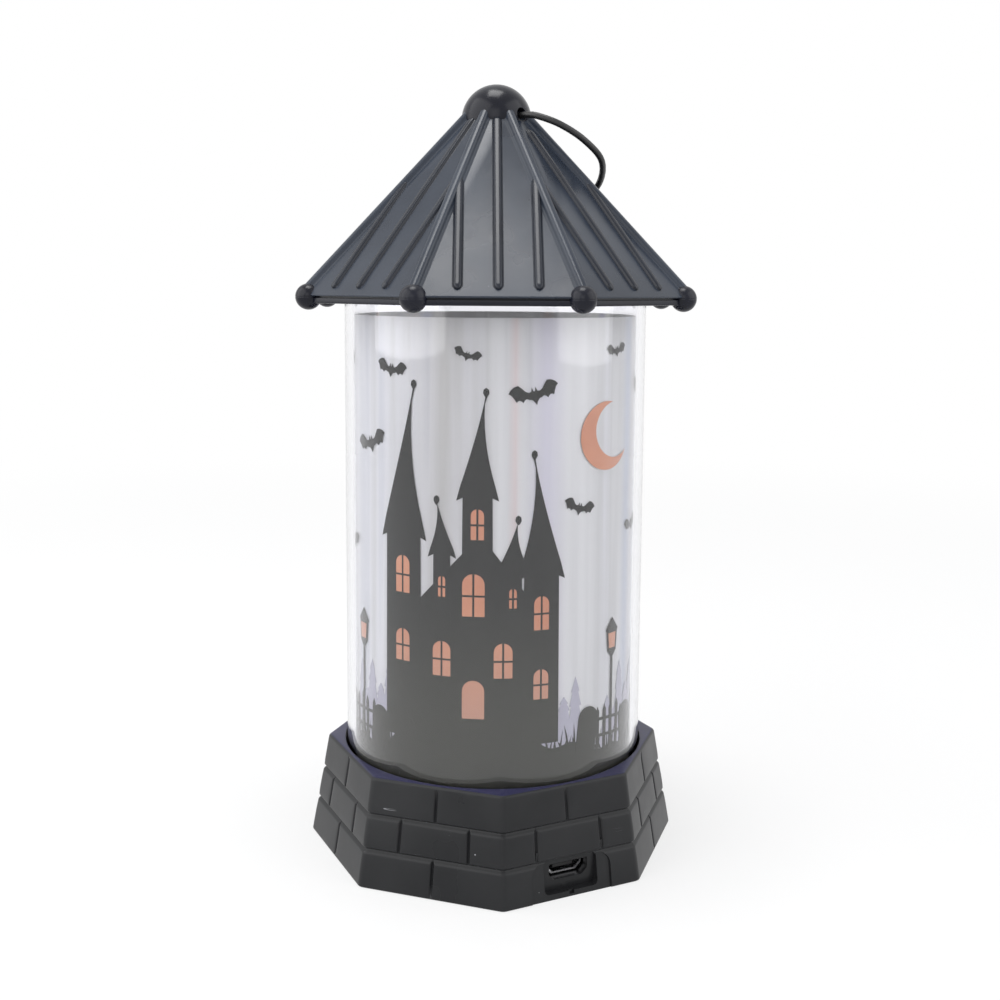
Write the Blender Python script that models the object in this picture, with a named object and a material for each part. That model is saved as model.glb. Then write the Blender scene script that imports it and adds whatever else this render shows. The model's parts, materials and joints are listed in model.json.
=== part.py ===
# LED lantern: brick base, clear tube with a rolled film, ribbed eight-sided roof and a hanging loop.
# Metres, +Z up. The origin is the middle of the rest face, and a corner of the base points to -Y.
# An azimuth is measured from -Y towards +X, in degrees.

import bpy
import bmesh
from math import atan, cos, pi, radians, sin, tan
from mathutils import Matrix, Vector

# Shared fits and counts
clearance = 0.0003
overrun = 0.001
side_count = 8
tube_steps = 64
board_steps = 32
round_steps = 16
screw_steps = 12
fine_steps = 28
corner_steps = 4

# Base plate, cell and the heights that they give the base
plate_recess = 0.0003
plate_thickness = 0.0024
plate_gap = 0.0003
cell_radius = 0.005
cell_length = 0.028
cell_lift = 0.0006
cell_headroom = 0.0011
cell_boss_gap = 0.0018
cell_nub_radius = 0.0014
cell_nub_length = 0.0008
cell_edge = 0.0006
cradle_wall = 0.0012
cradle_thickness = 0.0016
cradle_height = 0.0042
cradle_place_share = 0.29
tab_thickness = 0.0003
tab_width = 0.005
tab_height = 0.0064

# Clear tube and film
tube_radius = 0.0297
tube_wall = 0.0016
tube_length = 0.09385
film_thickness = 0.0003
film_gap = 0.0003
film_top_gap = 0.00465
film_seam = 0.0005

# Base shell
floor_thickness = 0.0018
tube_seat_depth = 0.004
deck_width = 0.00104
base_flare = 0.0036
base_wall = 0.0018
base_corner_round = 0.0018
corner_round_steps = 3
deck_edge = 0.0005
course_shares = (0.347, 0.663)
joint_places_shares = (0.25, 0.5, 0.75)
joint_shares = ((0.5,), (0.25, 0.75), (0.5,))
groove_width = 0.0008
groove_depth = 0.00045

# Screws that hold the base plate
plate_screw_radius = 0.001
plate_screw_length = 0.0075
plate_head_radius = 0.0018
plate_head_height = 0.0011
plate_head_recess = 0.0002
plate_boss_radius = 0.0026
boss_wall_gap = 0.0006
plate_screw_azimuths = (67.5, 157.5, 247.5, 337.5)

# Charging socket, its pocket and the main board
port_azimuth = 22.5
usb_width = 0.00745
usb_height = 0.0025
usb_length = 0.0055
usb_sheet = 0.0003
usb_corner = 0.0011
usb_floor_gap = 0.00055
window_gap = 0.0003
tongue_thickness = 0.0006
tongue_width = 0.0042
tongue_length = 0.0032
insulator_length = 0.0014
pocket_width = 0.0111
pocket_depth = 0.00207
pocket_drop = 0.0035
pocket_rise = 0.0025
pocket_corner = 0.0009
sill_notch_width = 0.001
sill_notch_height = 0.0006
sill_notch_depth = 0.0008
arch_width = 0.0166
arch_depth = 0.0004
arch_corner = 0.0026
pad_wall = 0.0016
pad_side = 0.0014
pad_rise = 0.002
pad_foot = 0.0004
board_length = 0.0178
board_width = 0.022
board_thickness = 0.0012
board_front_gap = 0.0009
board_screw_radius = 0.0008
board_screw_length = 0.0056
board_head_radius = 0.0015
board_head_height = 0.0009
board_boss_radius = 0.0022
board_screw_side = 0.008
board_screw_inset = 0.003
chip_size = 0.005
chip_height = 0.001
chip_edge = 0.0002
chip_inset = 0.009

# Slide switch
switch_x = -0.01
switch_y = -0.004
switch_length = 0.0086
switch_width = 0.0044
switch_height = 0.0043
switch_skin = 0.0006
switch_travel = 0.0025
knob_length = 0.002
knob_width = 0.0016
slider_length = 0.0032
slider_height = 0.001
knob_floor_gap = 0.0002
terminal_count = 3
terminal_pitch = 0.0025
terminal_size = 0.0006
terminal_height = 0.0014
finger_length = 0.014
finger_width = 0.008
finger_depth = 0.0013
finger_corner = 0.002

# LED board, LEDs and reflector
led_post_ring = 0.018
led_post_count = 3
led_post_radius = 0.002
led_post_height = 0.0007
led_pin_radius = 0.0008
led_pin_top = 0.0006
led_board_thickness = 0.0012
led_board_gap = 0.0005
led_count = 4
led_ring = 0.01
led_radius = 0.0025
led_flange = 0.0004
led_flange_height = 0.001
led_body_height = 0.0052
reflector_gap = 0.001
reflector_wall = 0.0012
reflector_height = 0.0042
wire_hole_radius = 0.002
wire_hole_gap = 0.003

# Wires: each pad by its distance to the side of the socket's axis and its inset from the board's back edge
wire_radius = 0.0005
wire_lead = 0.001
wire_points_per_span = 3
battery_red_pad = (0.009, 0.010)
battery_black_pad = (-0.009, 0.010)
switch_first_pad = (-0.005, 0.0012)
switch_second_pad = (-0.003, 0.0014)
led_red_pad = (0.0028, 0.0022)
led_black_pad = (-0.0006, 0.0022)
led_wire_bend = 0.0025

# The points that a wire passes between its contact and its pad. The last share of each is of the room over the board.
# Beside the cell: share of the room from the cell's end to the boss, share of the way to the pad.
red_side_shares = ((0.48, 0.09, 0.33), (0.66, 0.33, 0.50), (0.59, 0.58, 0.52), (0.34, 0.82, 0.46))
black_side_shares = ((0.48, 0.08, 0.33), (0.66, 0.27, 0.52), (0.42, 0.50, 0.55))
# Behind the front wall: azimuth, share of the ring of bosses.
black_front_azimuths = (-45.4, -17.1, -3.2)
black_front_shares = ((0.69, 0.55), (0.76, 0.50), (0.85, 0.33))
# From the switch: share of the straight way to the pad.
switch_wire_shares = ((0.12, 0.64), (0.48, 0.66), (0.80, 0.52))

# Roof, eave plate and balls
roof_turn = -2.5
roof_pitch = 48.43
roof_wall = 0.0016
roof_collar_gap = 0.00046
collar_wall = 0.0015
collar_depth = 0.00245
collar_flange = 0.0012
collar_lip = 0.0027
eave_thickness = 0.00105
eave_inset = 0.0008
ball_radius = 0.00245
ball_inset = 0.0015
ball_sink = 0.00015
ridge_radius = 0.0011
ridge_sink = 0.0002
ridge_steps = 10
rib_width = 0.0015
rib_height = 0.0006
rib_root = 0.0003
rib_spacing = 0.007
rib_eave_gap = 0.0019
rib_top_sink = 0.00033
rib_hole_gap = 0.0015
rib_arc_steps = 4
# Along the rib in rib widths, then its width and its height, at the rounded foot and at the buried top
rib_foot_shares = ((0.0, 0.3, -0.4), (0.3, 0.8, 0.7), (0.6, 1.0, 1.0))
rib_top_shares = ((-1.0, 1.0, 1.0), (0.0, 0.7, 0.8))
finial_radius = 0.00683
finial_wall = 0.0015
finial_drop = 0.007

# Hanging loop
cord_radius = 0.00065
cord_azimuth = 42.5
cord_rise = 0.0004
cord_point_count = 41
knot_radius = 0.0015
knot_place = 0.0034

# The loop's route from its first end to its tip: along the hole's axis, sideways, and up.
# The other half mirrors it.
loop_half_route = (
    (0.0052, 0.0, 0.0),
    (0.0083, 0.0, 0.0),
    (0.0106, 0.0006, -0.0004),
    (0.0140, 0.0030, -0.0020),
    (0.0160, 0.0075, -0.0046),
    (0.0158, 0.0130, -0.0079),
    (0.0112, 0.0184, -0.0113),
    (0.0060, 0.0206, -0.0141),
    (0.0, 0.0213, -0.0151),
)

# Angles of the eight-sided forms
side_angle = 360 / side_count
half_side = radians(side_angle / 2)
roof_slope = tan(radians(roof_pitch))

# Heights in the base
plate_top = plate_recess + plate_thickness
cell_bottom = plate_top + cell_lift
cell_height = cell_bottom + cell_radius
ceiling_height = cell_height + cell_radius + cell_headroom
floor_top = ceiling_height + floor_thickness
base_height = floor_top + tube_seat_depth

# Plan sizes of the base
tube_seat_radius = tube_radius + clearance
base_top_radius = (tube_seat_radius + deck_width) / cos(half_side)
base_bottom_radius = base_top_radius + base_flare
base_taper = base_flare / base_height

# Heights and plan sizes of the tube and the roof
tube_bottom = floor_top + clearance
tube_top = tube_bottom + tube_length
collar_radius = tube_seat_radius + collar_wall
flange_bottom = tube_top + clearance
collar_top = flange_bottom + collar_flange
eave_bottom = tube_top - collar_depth
eave_top = eave_bottom + eave_thickness
roof_bottom = eave_top + clearance
roof_wall_across = roof_wall / sin(radians(roof_pitch))
roof_wall_upright = roof_wall / cos(radians(roof_pitch))
eave_apothem = collar_radius + roof_collar_gap + (collar_top - roof_bottom) / roof_slope + roof_wall_across
eave_radius = eave_apothem / cos(half_side)
apex_height = roof_bottom + eave_apothem * roof_slope
finial_height = apex_height - finial_drop
ball_ring = eave_radius - ball_inset
ball_height = roof_bottom - ball_sink
hinge_height = finial_height + cord_rise
cord_hole_radius = cord_radius + clearance * 2
cord_hole_height = hinge_height + clearance

# Charging socket and main board
port_height = plate_top + usb_floor_gap + usb_height / 2
pocket_bottom = port_height - pocket_drop
pocket_top = port_height + pocket_rise
board_bottom = port_height + usb_height / 2 + clearance
board_top = board_bottom + board_thickness

# LED board and reflector
led_board_bottom = floor_top + led_post_height + clearance
led_board_top = led_board_bottom + led_board_thickness
film_radius = tube_radius - tube_wall - film_gap
reflector_radius = film_radius - film_thickness - reflector_gap
reflector_top = tube_bottom + reflector_height
led_board_radius = reflector_radius - reflector_wall - led_board_gap


def clear_scene():
    for item in list(bpy.data.objects):
        bpy.data.objects.remove(item, do_unlink=True)


def material(name, colour, roughness, metallic=0.0):
    made = bpy.data.materials.new(name)
    made.use_nodes = True
    shader = made.node_tree.nodes["Principled BSDF"]
    shader.inputs["Base Color"].default_value = (*colour, 1.0)
    shader.inputs["Roughness"].default_value = roughness
    shader.inputs["Metallic"].default_value = metallic
    made.diffuse_color = (*colour, 1.0)
    return made


def make_materials():
    return {
        "base": material("base_plastic", (0.024, 0.026, 0.030), 0.42),
        "roof": material("roof_plastic", (0.085, 0.105, 0.140), 0.40),
        "clear": material("clear_plastic", (0.90, 0.93, 0.95), 0.06),
        "film": material("silver_film", (0.72, 0.72, 0.75), 0.32),
        "cord": material("black_cord", (0.012, 0.012, 0.013), 0.45),
        "steel": material("screw_steel", (0.55, 0.55, 0.57), 0.30, 1.0),
        "board": material("board_green", (0.020, 0.130, 0.055), 0.45),
        "white": material("white_plastic", (0.82, 0.82, 0.80), 0.40),
        "black": material("chip_black", (0.015, 0.015, 0.017), 0.50),
        "cell": material("cell_wrap", (0.050, 0.200, 0.420), 0.38),
        "nickel": material("contact_nickel", (0.66, 0.64, 0.60), 0.28, 1.0),
        "red": material("wire_red", (0.500, 0.020, 0.020), 0.45),
        "lens": material("led_lens", (0.92, 0.88, 0.76), 0.15),
    }


# Places and directions

def outward(azimuth, distance=1.0, height=0.0):
    angle = radians(azimuth)
    return Vector((distance * sin(angle), -distance * cos(angle), height))


def facing(azimuth):
    # Turns a shape that was made looking along -Y to look along the azimuth.
    return Matrix.Rotation(radians(azimuth), 4, "Z")


def place(x=0.0, y=0.0, z=0.0):
    return Matrix.Translation((x, y, z))


def port_place(side, reach, height):
    # A point by its distance to the side of the socket's axis, its reach from the middle and its height.
    return facing(port_azimuth) @ Vector((side, -reach, height))


# Mesh builders

def skin(rings, closed=False):
    # Joins rings of equal counts in order, with flat ends or back to the first one.
    made = bmesh.new()
    rows = [[made.verts.new(point) for point in ring] for ring in rings]
    count = len(rows[0])
    pairs = list(zip(rows, rows[1:]))
    if closed:
        pairs.append((rows[-1], rows[0]))
    for lower, upper in pairs:
        for index in range(count):
            after = (index + 1) % count
            made.faces.new((lower[index], lower[after], upper[after], upper[index]))
    if not closed:
        made.faces.new(reversed(rows[0]))
        made.faces.new(rows[-1])
    bmesh.ops.recalc_face_normals(made, faces=made.faces)
    return made


def turned(profile, steps):
    # Turns a closed outline of (radius, height) points round the Z axis.
    made = bmesh.new()
    rows = []
    for radius, height in profile:
        if radius == 0:
            rows.append([made.verts.new((0, 0, height))] * steps)
        else:
            angles = [2 * pi * step / steps for step in range(steps)]
            rows.append([made.verts.new((radius * cos(a), radius * sin(a), height)) for a in angles])
    for lower, upper in zip(rows, rows[1:] + rows[:1]):
        for index in range(steps):
            after = (index + 1) % steps
            corners = dict.fromkeys((lower[index], lower[after], upper[after], upper[index]))
            if len(corners) > 2:
                made.faces.new(list(corners))
    bmesh.ops.recalc_face_normals(made, faces=made.faces)
    return made


def prism(outline, low, high):
    return skin([[(x, y, height) for x, y in outline] for height in (low, high)])


def cylinder(radius, low, high, steps=round_steps):
    return turned([(0, low), (radius, low), (radius, high), (0, high)], steps)


def ball(radius, steps):
    half = steps // 2
    arc = [(radius * sin(pi * step / half), -radius * cos(pi * step / half)) for step in range(1, half)]
    return turned([(0, -radius)] + arc + [(0, radius)], steps)


def rectangle(length, width):
    x = length / 2
    y = width / 2
    return [(-x, -y), (x, -y), (x, y), (-x, y)]


def block(low, high):
    # A box between two corners.
    outline = [(low[0], low[1]), (high[0], low[1]), (high[0], high[1]), (low[0], high[1])]
    return prism(outline, low[2], high[2])


def rounded(outline, radius, steps=corner_steps):
    # Rounds each corner of an outline that turns left.
    points = []
    for index, corner in enumerate(outline):
        here = Vector(corner)
        to_before = (Vector(outline[index - 1]) - here).normalized()
        to_after = (Vector(outline[(index + 1) % len(outline)]) - here).normalized()
        half_angle = to_before.angle(to_after) / 2
        setback = radius / tan(half_angle)
        centre = here + (to_before + to_after).normalized() * (radius / sin(half_angle))
        start = here + to_before * setback - centre
        sweep = pi - 2 * half_angle
        for step in range(steps + 1):
            arm = Matrix.Rotation(sweep * step / steps, 2) @ start
            points.append(tuple(centre + arm))
    return points


def octagon(radius, height, turn):
    return [outward(turn + side_angle * side, radius, height) for side in range(side_count)]


def several(makers):
    # One mesh out of separate closed shapes, each moved by its own matrix.
    joined = bmesh.new()
    for shape, matrix in makers:
        shape.transform(matrix)
        passing = bpy.data.meshes.new("passing")
        shape.to_mesh(passing)
        shape.free()
        joined.from_mesh(passing)
        bpy.data.meshes.remove(passing)
    return joined


# Objects

def add_object(name, shape, matrix, smooth_angle):
    mesh = bpy.data.meshes.new(name)
    shape.to_mesh(mesh)
    shape.free()
    mesh.shade_smooth()
    mesh.set_sharp_from_angle(angle=radians(smooth_angle))
    made = bpy.data.objects.new(name, mesh)
    bpy.context.scene.collection.objects.link(made)
    made.matrix_world = matrix
    return made


def add_piece(name, shape, finish, parent, matrix=Matrix(), smooth_angle=35):
    made = add_object(name, shape, matrix, smooth_angle)
    made.data.materials.append(finish)
    made.parent = parent
    made.matrix_parent_inverse = parent.matrix_world.inverted()
    return made


def add_guide(name, location, turn=0.0):
    made = bpy.data.objects.new(name, None)
    bpy.context.scene.collection.objects.link(made)
    made.location = location
    made.rotation_euler = (0, 0, radians(turn))
    made.hide_render = True
    bpy.context.view_layer.update()
    return made


def change(piece, operation, name, shape, matrix=Matrix()):
    # Adds or cuts a hidden shape with a Boolean modifier.
    tool = add_object(piece.name + "_" + name, shape, matrix, 35)
    tool.hide_render = True
    tool.display_type = "WIRE"
    step = piece.modifiers.new(name, "BOOLEAN")
    step.operation = operation
    step.solver = "EXACT"
    step.object = tool


def cut(piece, name, shape, matrix=Matrix()):
    change(piece, "DIFFERENCE", name, shape, matrix)


def join(piece, name, shape, matrix=Matrix()):
    change(piece, "UNION", name, shape, matrix)


def smooth_curve(route, count):
    # Evenly numbered points of a smooth curve that passes through the route.
    points = [Vector(point) for point in route]
    points.insert(0, points[0] * 2 - points[1])
    points.append(points[-1] * 2 - points[-2])
    spans = len(points) - 3
    line = []
    for step in range(count):
        travel = spans * step / (count - 1)
        span = min(int(travel), spans - 1)
        t = travel - span
        a, b, c, d = points[span:span + 4]
        bend = (2 * a - 5 * b + 4 * c - d) * t * t
        twist = (3 * b - a - 3 * c + d) * t * t * t
        line.append((2 * b + (c - a) * t + bend + twist) / 2)
    return line


def add_cord(name, line, radius, finish, parent, matrix=Matrix()):
    curve = bpy.data.curves.new(name, "CURVE")
    curve.dimensions = "3D"
    curve.bevel_depth = radius
    curve.bevel_resolution = 2
    curve.use_fill_caps = True
    curve.render_resolution_u = 0
    spline = curve.splines.new("POLY")
    spline.points.add(len(line) - 1)
    for spot, point in zip(spline.points, line):
        spot.co = (*point, 1.0)
    spline.use_smooth = True
    curve.materials.append(finish)
    made = bpy.data.objects.new(name, curve)
    bpy.context.scene.collection.objects.link(made)
    made.matrix_world = matrix
    made.parent = parent
    made.matrix_parent_inverse = parent.matrix_world.inverted()


# Base shell

def base_radius_at(height):
    return base_bottom_radius - base_taper * height


def base_ring(height, inset, course):
    # The outer skin at one height, with the upright joints of its brick course pushed in.
    radius = base_radius_at(height) - inset / cos(half_side)
    apothem = radius * cos(half_side)
    face_width = 2 * radius * sin(half_side)
    arc_centre = radius - base_corner_round / cos(half_side)
    points = []
    for side in range(side_count):
        turn = facing(side_angle * side)
        for step in range(corner_round_steps + 1):
            azimuth = side_angle * (step / corner_round_steps - 1 / 2)
            points.append(turn @ (outward(0, arc_centre) + outward(azimuth, base_corner_round, height)))
        face = facing(side_angle * (side + 1 / 2))
        joints = () if course is None else joint_shares[course]
        if course == 0 and side == 0:
            joints = ()
        for share in joint_places_shares:
            middle = face_width * (share - 1 / 2)
            push = groove_depth if share in joints else 0
            for shift, depth in ((-groove_width / 2, 0), (0, push), (groove_width / 2, 0)):
                points.append(face @ Vector((middle + shift, depth - apothem, height)))
    return points


def base_levels():
    # Height, inset and brick course of each ring, from the rest face to the deck.
    first, second = [share * base_height for share in course_shares]
    half = groove_width / 2
    return (
        (0, 0, 0),
        (first - half, 0, 0),
        (first, groove_depth, None),
        (first + half, 0, 1),
        (second - half, 0, 1),
        (second, groove_depth, None),
        (second + half, 0, 2),
        (base_height - deck_edge, 0, 2),
        (base_height, deck_edge, None),
    )


def base_reach_at(height, inset=0.0):
    # Distance from the axis to the middle of a face at one height.
    return base_radius_at(height) * cos(half_side) - inset


def plate_boss_ring():
    return base_reach_at(ceiling_height, base_wall) - boss_wall_gap - plate_boss_radius


def board_reach():
    # Reach of the board's front and back edges from the middle of the base.
    front = pad_inner_reach() - board_front_gap
    return front, front - board_length


def wire_hole_reach():
    return board_reach()[1] - wire_hole_gap


def pocket_reach():
    return base_reach_at(0, pocket_depth)


def pad_inner_reach():
    return pocket_reach() - pad_wall


def board_screw_places():
    reach = board_reach()[1] + board_screw_inset
    return [(side * board_screw_side, reach) for side in (-1, 1)]


def led_post_places():
    return [outward(360 * post / led_post_count, led_post_ring) for post in range(led_post_count)]


def make_base_shell(finish, parent):
    shell = add_piece("base_shell", skin([base_ring(*level) for level in base_levels()]), finish, parent)
    wall_levels = (-overrun, ceiling_height)
    cavity = [octagon(base_reach_at(height, base_wall) / cos(half_side), height, 0) for height in wall_levels]
    cut(shell, "cavity", skin(cavity))
    cut(shell, "tube_seat", cylinder(tube_seat_radius, floor_top, base_height + overrun, tube_steps))
    add_bosses(shell)
    add_led_posts(shell)
    hole = cylinder(wire_hole_radius, ceiling_height - overrun, floor_top + overrun)
    cut(shell, "wire_hole", hole, place(*port_place(0, wire_hole_reach(), 0)))
    add_port(shell)


def add_bosses(shell):
    ring = plate_boss_ring()
    boss_low = plate_top + clearance
    boss_high = ceiling_height + floor_thickness / 2
    bosses = []
    pilots = []
    for azimuth in plate_screw_azimuths:
        spot = place(*outward(azimuth, ring))
        bosses.append((cylinder(plate_boss_radius, boss_low, boss_high), spot))
        pilot_top = plate_screw_seat() + plate_screw_length + clearance
        pilot = cylinder(plate_screw_radius + clearance, boss_low - overrun, pilot_top, screw_steps)
        pilots.append((pilot, spot))
    for side, reach in board_screw_places():
        spot = place(*port_place(side, reach, 0))
        bosses.append((cylinder(board_boss_radius, board_top + clearance, boss_high), spot))
        pilot_top = board_bottom + board_screw_length
        pilot = cylinder(board_screw_radius + clearance, board_top - overrun, pilot_top, screw_steps)
        pilots.append((pilot, spot))
    join(shell, "bosses", several(bosses))
    cut(shell, "pilots", several(pilots))


def add_led_posts(shell):
    low = floor_top - floor_thickness / 4
    shoulder = led_board_bottom - clearance
    top = led_board_top + led_pin_top
    profile = [
        (0, low),
        (led_post_radius, low),
        (led_post_radius, shoulder),
        (led_pin_radius, shoulder),
        (led_pin_radius, top),
        (0, top),
    ]
    posts = [(turned(profile, round_steps), place(*spot)) for spot in led_post_places()]
    join(shell, "led_posts", several(posts))


def add_port(shell):
    # Pad, arch-shaped recess, pocket, sill notch and window of the charging socket.
    turn = facing(port_azimuth)
    upright = Matrix.Rotation(radians(90), 4, "X")
    outer = base_reach_at(0)
    pad_half = pocket_width / 2 + pad_side
    pad_top = pocket_top + pad_rise
    pad_outer = (base_reach_at(pad_foot, base_wall) + base_reach_at(pad_top)) / 2
    pad = block((-pad_half, -pad_outer, pad_foot), (pad_half, -pad_inner_reach(), pad_top))
    join(shell, "pad", pad, turn)

    arch_top = course_shares[0] * base_height
    arch_low = -arch_corner - overrun
    half = arch_width / 2
    corners = [(-half, arch_low), (half, arch_low), (half, arch_top), (-half, arch_top)]
    arch = prism(rounded(corners, arch_corner), -arch_depth, overrun)
    lean = Matrix.Rotation(-atan(base_taper * cos(half_side)), 4, "X")
    cut(shell, "arch", arch, turn @ place(0, -outer, 0) @ lean @ upright)

    half = pocket_width / 2
    corners = [(-half, pocket_bottom), (half, pocket_bottom), (half, pocket_top), (-half, pocket_top)]
    pocket = prism(rounded(corners, pocket_corner), pocket_reach(), outer + overrun)
    cut(shell, "pocket", pocket, turn @ upright)

    notch_low = pocket_bottom - sill_notch_height
    notch = block((-sill_notch_width / 2, -outer - overrun, notch_low),
                  (sill_notch_width / 2, sill_notch_depth - outer, pocket_bottom + overrun))
    cut(shell, "sill_notch", notch, turn)

    window = prism(usb_outline(window_gap), pad_inner_reach() - overrun, outer)
    cut(shell, "window", window, turn @ upright)


# Charging socket and main board

def usb_outline(margin):
    # Flat top, and lower corners that are cut at a slant, seen from outside.
    half = usb_width / 2 + margin
    low = port_height - usb_height / 2 - margin
    high = port_height + usb_height / 2 + margin
    return [
        (usb_corner - half, low),
        (half - usb_corner, low),
        (half, low + usb_corner),
        (half, high),
        (-half, high),
        (-half, low + usb_corner),
    ]


def make_socket(finishes, parent):
    turn = facing(port_azimuth) @ Matrix.Rotation(radians(90), 4, "X")
    front = pad_inner_reach() - clearance
    back = front - usb_length
    shell = add_piece("usb_shell", prism(usb_outline(0), back, front), finishes["steel"], parent, turn)
    mouth = prism(usb_outline(-usb_sheet), back + usb_sheet, front + overrun)
    cut(shell, "mouth", mouth, turn)

    root = back + usb_sheet + clearance
    inside = prism(usb_outline(-usb_sheet - clearance), root, root + insulator_length)
    insulator = add_piece("usb_insulator", inside, finishes["black"], parent, turn)
    half = tongue_width / 2
    rise = tongue_thickness / 2
    tongue = block((-half, port_height - rise, root + insulator_length / 2),
                   (half, port_height + rise, root + insulator_length + tongue_length))
    join(insulator, "tongue", tongue, turn)


def make_main_board(finishes, parent):
    turn = facing(port_azimuth)
    front, back = board_reach()
    half = board_width / 2
    board = add_piece("main_board", block((-half, -front, board_bottom), (half, -back, board_top)),
                      finishes["board"], parent, turn)
    holes = []
    for side, reach in board_screw_places():
        hole = cylinder(board_screw_radius + clearance, board_bottom - overrun, board_top + overrun)
        holes.append((hole, place(side, -reach)))
    cut(board, "screw_holes", several(holes), turn)

    low = board_top + clearance
    chip_outline = rounded(rectangle(chip_size, chip_size), chip_edge, 1)
    chip = prism(chip_outline, low, low + chip_height)
    spot = port_place(0, back + chip_inset, 0)
    add_piece("control_chip", chip, finishes["black"], parent, place(*spot) @ turn)


def cross_recess(reach, low, high):
    # The drive of a cross-head screw.
    arm = reach / 4
    outline = []
    for quarter in range(4):
        turn = Matrix.Rotation(radians(90 * quarter), 2)
        outline += [tuple(turn @ Vector(point)) for point in ((arm, -reach), (arm, -arm), (reach, -arm))]
    corners = outline[-1:] + outline[:-1]
    return prism(corners, low, high)


def add_screw(name, spot, head_low, head_radius, head_height, shank_radius, shank_top, finish, parent):
    # A screw that is driven upwards, head down.
    edge = head_height / 4
    head_top = head_low + head_height
    profile = [
        (0, head_low),
        (head_radius - edge, head_low),
        (head_radius, head_low + edge),
        (head_radius, head_top),
        (shank_radius, head_top),
        (shank_radius, shank_top - shank_radius),
        (shank_radius / 2, shank_top),
        (0, shank_top),
    ]
    screw = add_piece(name, turned(profile, screw_steps), finish, parent, spot)
    recess = cross_recess(head_radius / 2, head_low - overrun, head_low + head_height / 2)
    cut(screw, "drive", recess, spot)


def plate_screw_seat():
    # Height of the face under which the heads of the plate's screws sit.
    return plate_recess + plate_head_recess + plate_head_height


def make_screws(finish, parent):
    for number, azimuth in enumerate(plate_screw_azimuths, 1):
        spot = place(*outward(azimuth, plate_boss_ring()))
        head_low = plate_screw_seat() - plate_head_height
        shank_top = plate_screw_seat() + plate_screw_length
        add_screw("plate_screw_" + str(number), spot, head_low, plate_head_radius, plate_head_height,
                  plate_screw_radius, shank_top, finish, parent)
    for number, (side, reach) in enumerate(board_screw_places(), 1):
        spot = place(*port_place(side, reach, 0))
        seat = board_bottom - clearance
        add_screw("board_screw_" + str(number), spot, seat - board_head_height, board_head_radius,
                  board_head_height, board_screw_radius, seat + board_screw_length, finish, parent)


# Base plate, cell and switch

def cell_place():
    back_boss = plate_boss_ring() * cos(half_side)
    return back_boss - plate_boss_radius - cell_boss_gap - cell_radius - clearance - cradle_wall


def make_base_plate(finish, parent):
    radius = base_reach_at(plate_top, base_wall + plate_gap) / cos(half_side)
    corners = [point.xy for point in octagon(radius, 0, 0)]
    outline = rounded(corners, base_corner_round, corner_round_steps)
    plate = add_piece("base_plate", prism(outline, plate_recess, plate_top), finish, parent)

    half = pocket_width / 2 + pad_side + clearance
    inner = pad_inner_reach() - clearance
    notch = block((-half, -base_bottom_radius, plate_recess - overrun), (half, -inner, plate_top + overrun))
    cut(plate, "pad_notch", notch, facing(port_azimuth))
    add_cradle(plate)
    add_screw_holes(plate)
    add_switch_slot(plate)


def add_cradle(plate):
    # Two ribs with a round seat each, under the cell.
    y = cell_place()
    half = cell_radius + clearance + cradle_wall
    ribs = []
    for side in (-1, 1):
        x = side * cell_length * cradle_place_share
        low = (x - cradle_thickness / 2, y - half, plate_top - plate_thickness / 2)
        high = (x + cradle_thickness / 2, y + half, plate_top + cradle_height)
        ribs.append((block(low, high), Matrix()))
    join(plate, "cradle", several(ribs))
    bore = cylinder(cell_radius + clearance, -cell_length / 2, cell_length / 2, fine_steps)
    cut(plate, "cell_seat", bore, place(0, y, cell_height) @ Matrix.Rotation(radians(90), 4, "Y"))


def add_screw_holes(plate):
    hole_radius = plate_screw_radius + clearance
    sink_radius = plate_head_radius + clearance
    low = plate_recess - overrun
    seat = plate_screw_seat() + clearance
    high = plate_top + overrun
    profile = [
        (0, low),
        (sink_radius, low),
        (sink_radius, seat),
        (hole_radius, seat),
        (hole_radius, high),
        (0, high),
    ]
    spots = [place(*outward(azimuth, plate_boss_ring())) for azimuth in plate_screw_azimuths]
    cut(plate, "screw_holes", several([(turned(profile, round_steps), spot) for spot in spots]))


def add_switch_slot(plate):
    spot = place(switch_x, switch_y)
    finger = rounded(rectangle(finger_length, finger_width), finger_corner)
    cut(plate, "finger_recess", prism(finger, plate_recess - overrun, plate_recess + finger_depth), spot)
    length = knob_length + switch_travel + clearance * 2
    slot = rectangle(length, knob_width + clearance * 2)
    cut(plate, "knob_slot", prism(slot, plate_recess, plate_top + overrun), spot)


def make_cell(finishes, parent):
    half = cell_length / 2
    rim = cell_radius - cell_edge
    body_end = half - cell_nub_length
    profile = [
        (0, -half),
        (rim, -half),
        (cell_radius, cell_edge - half),
        (cell_radius, body_end - cell_edge),
        (rim, body_end),
        (cell_nub_radius, body_end),
        (cell_nub_radius, half),
        (0, half),
    ]
    y = cell_place()
    lying = place(0, y, cell_height) @ Matrix.Rotation(radians(90), 4, "Y")
    add_piece("battery_cell", turned(profile, fine_steps), finishes["cell"], parent, lying)
    for name, side in (("cell_tab_plus", 1), ("cell_tab_minus", -1)):
        x = side * (half + clearance + tab_thickness / 2)
        outline = rounded(rectangle(tab_width, tab_height), tab_width / 4, 2)
        tab = prism(outline, -tab_thickness / 2, tab_thickness / 2)
        upright = Matrix.Rotation(radians(90), 4, "Z") @ Matrix.Rotation(radians(90), 4, "X")
        add_piece(name, tab, finishes["nickel"], parent, place(x, y, cell_height) @ upright)


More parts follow.
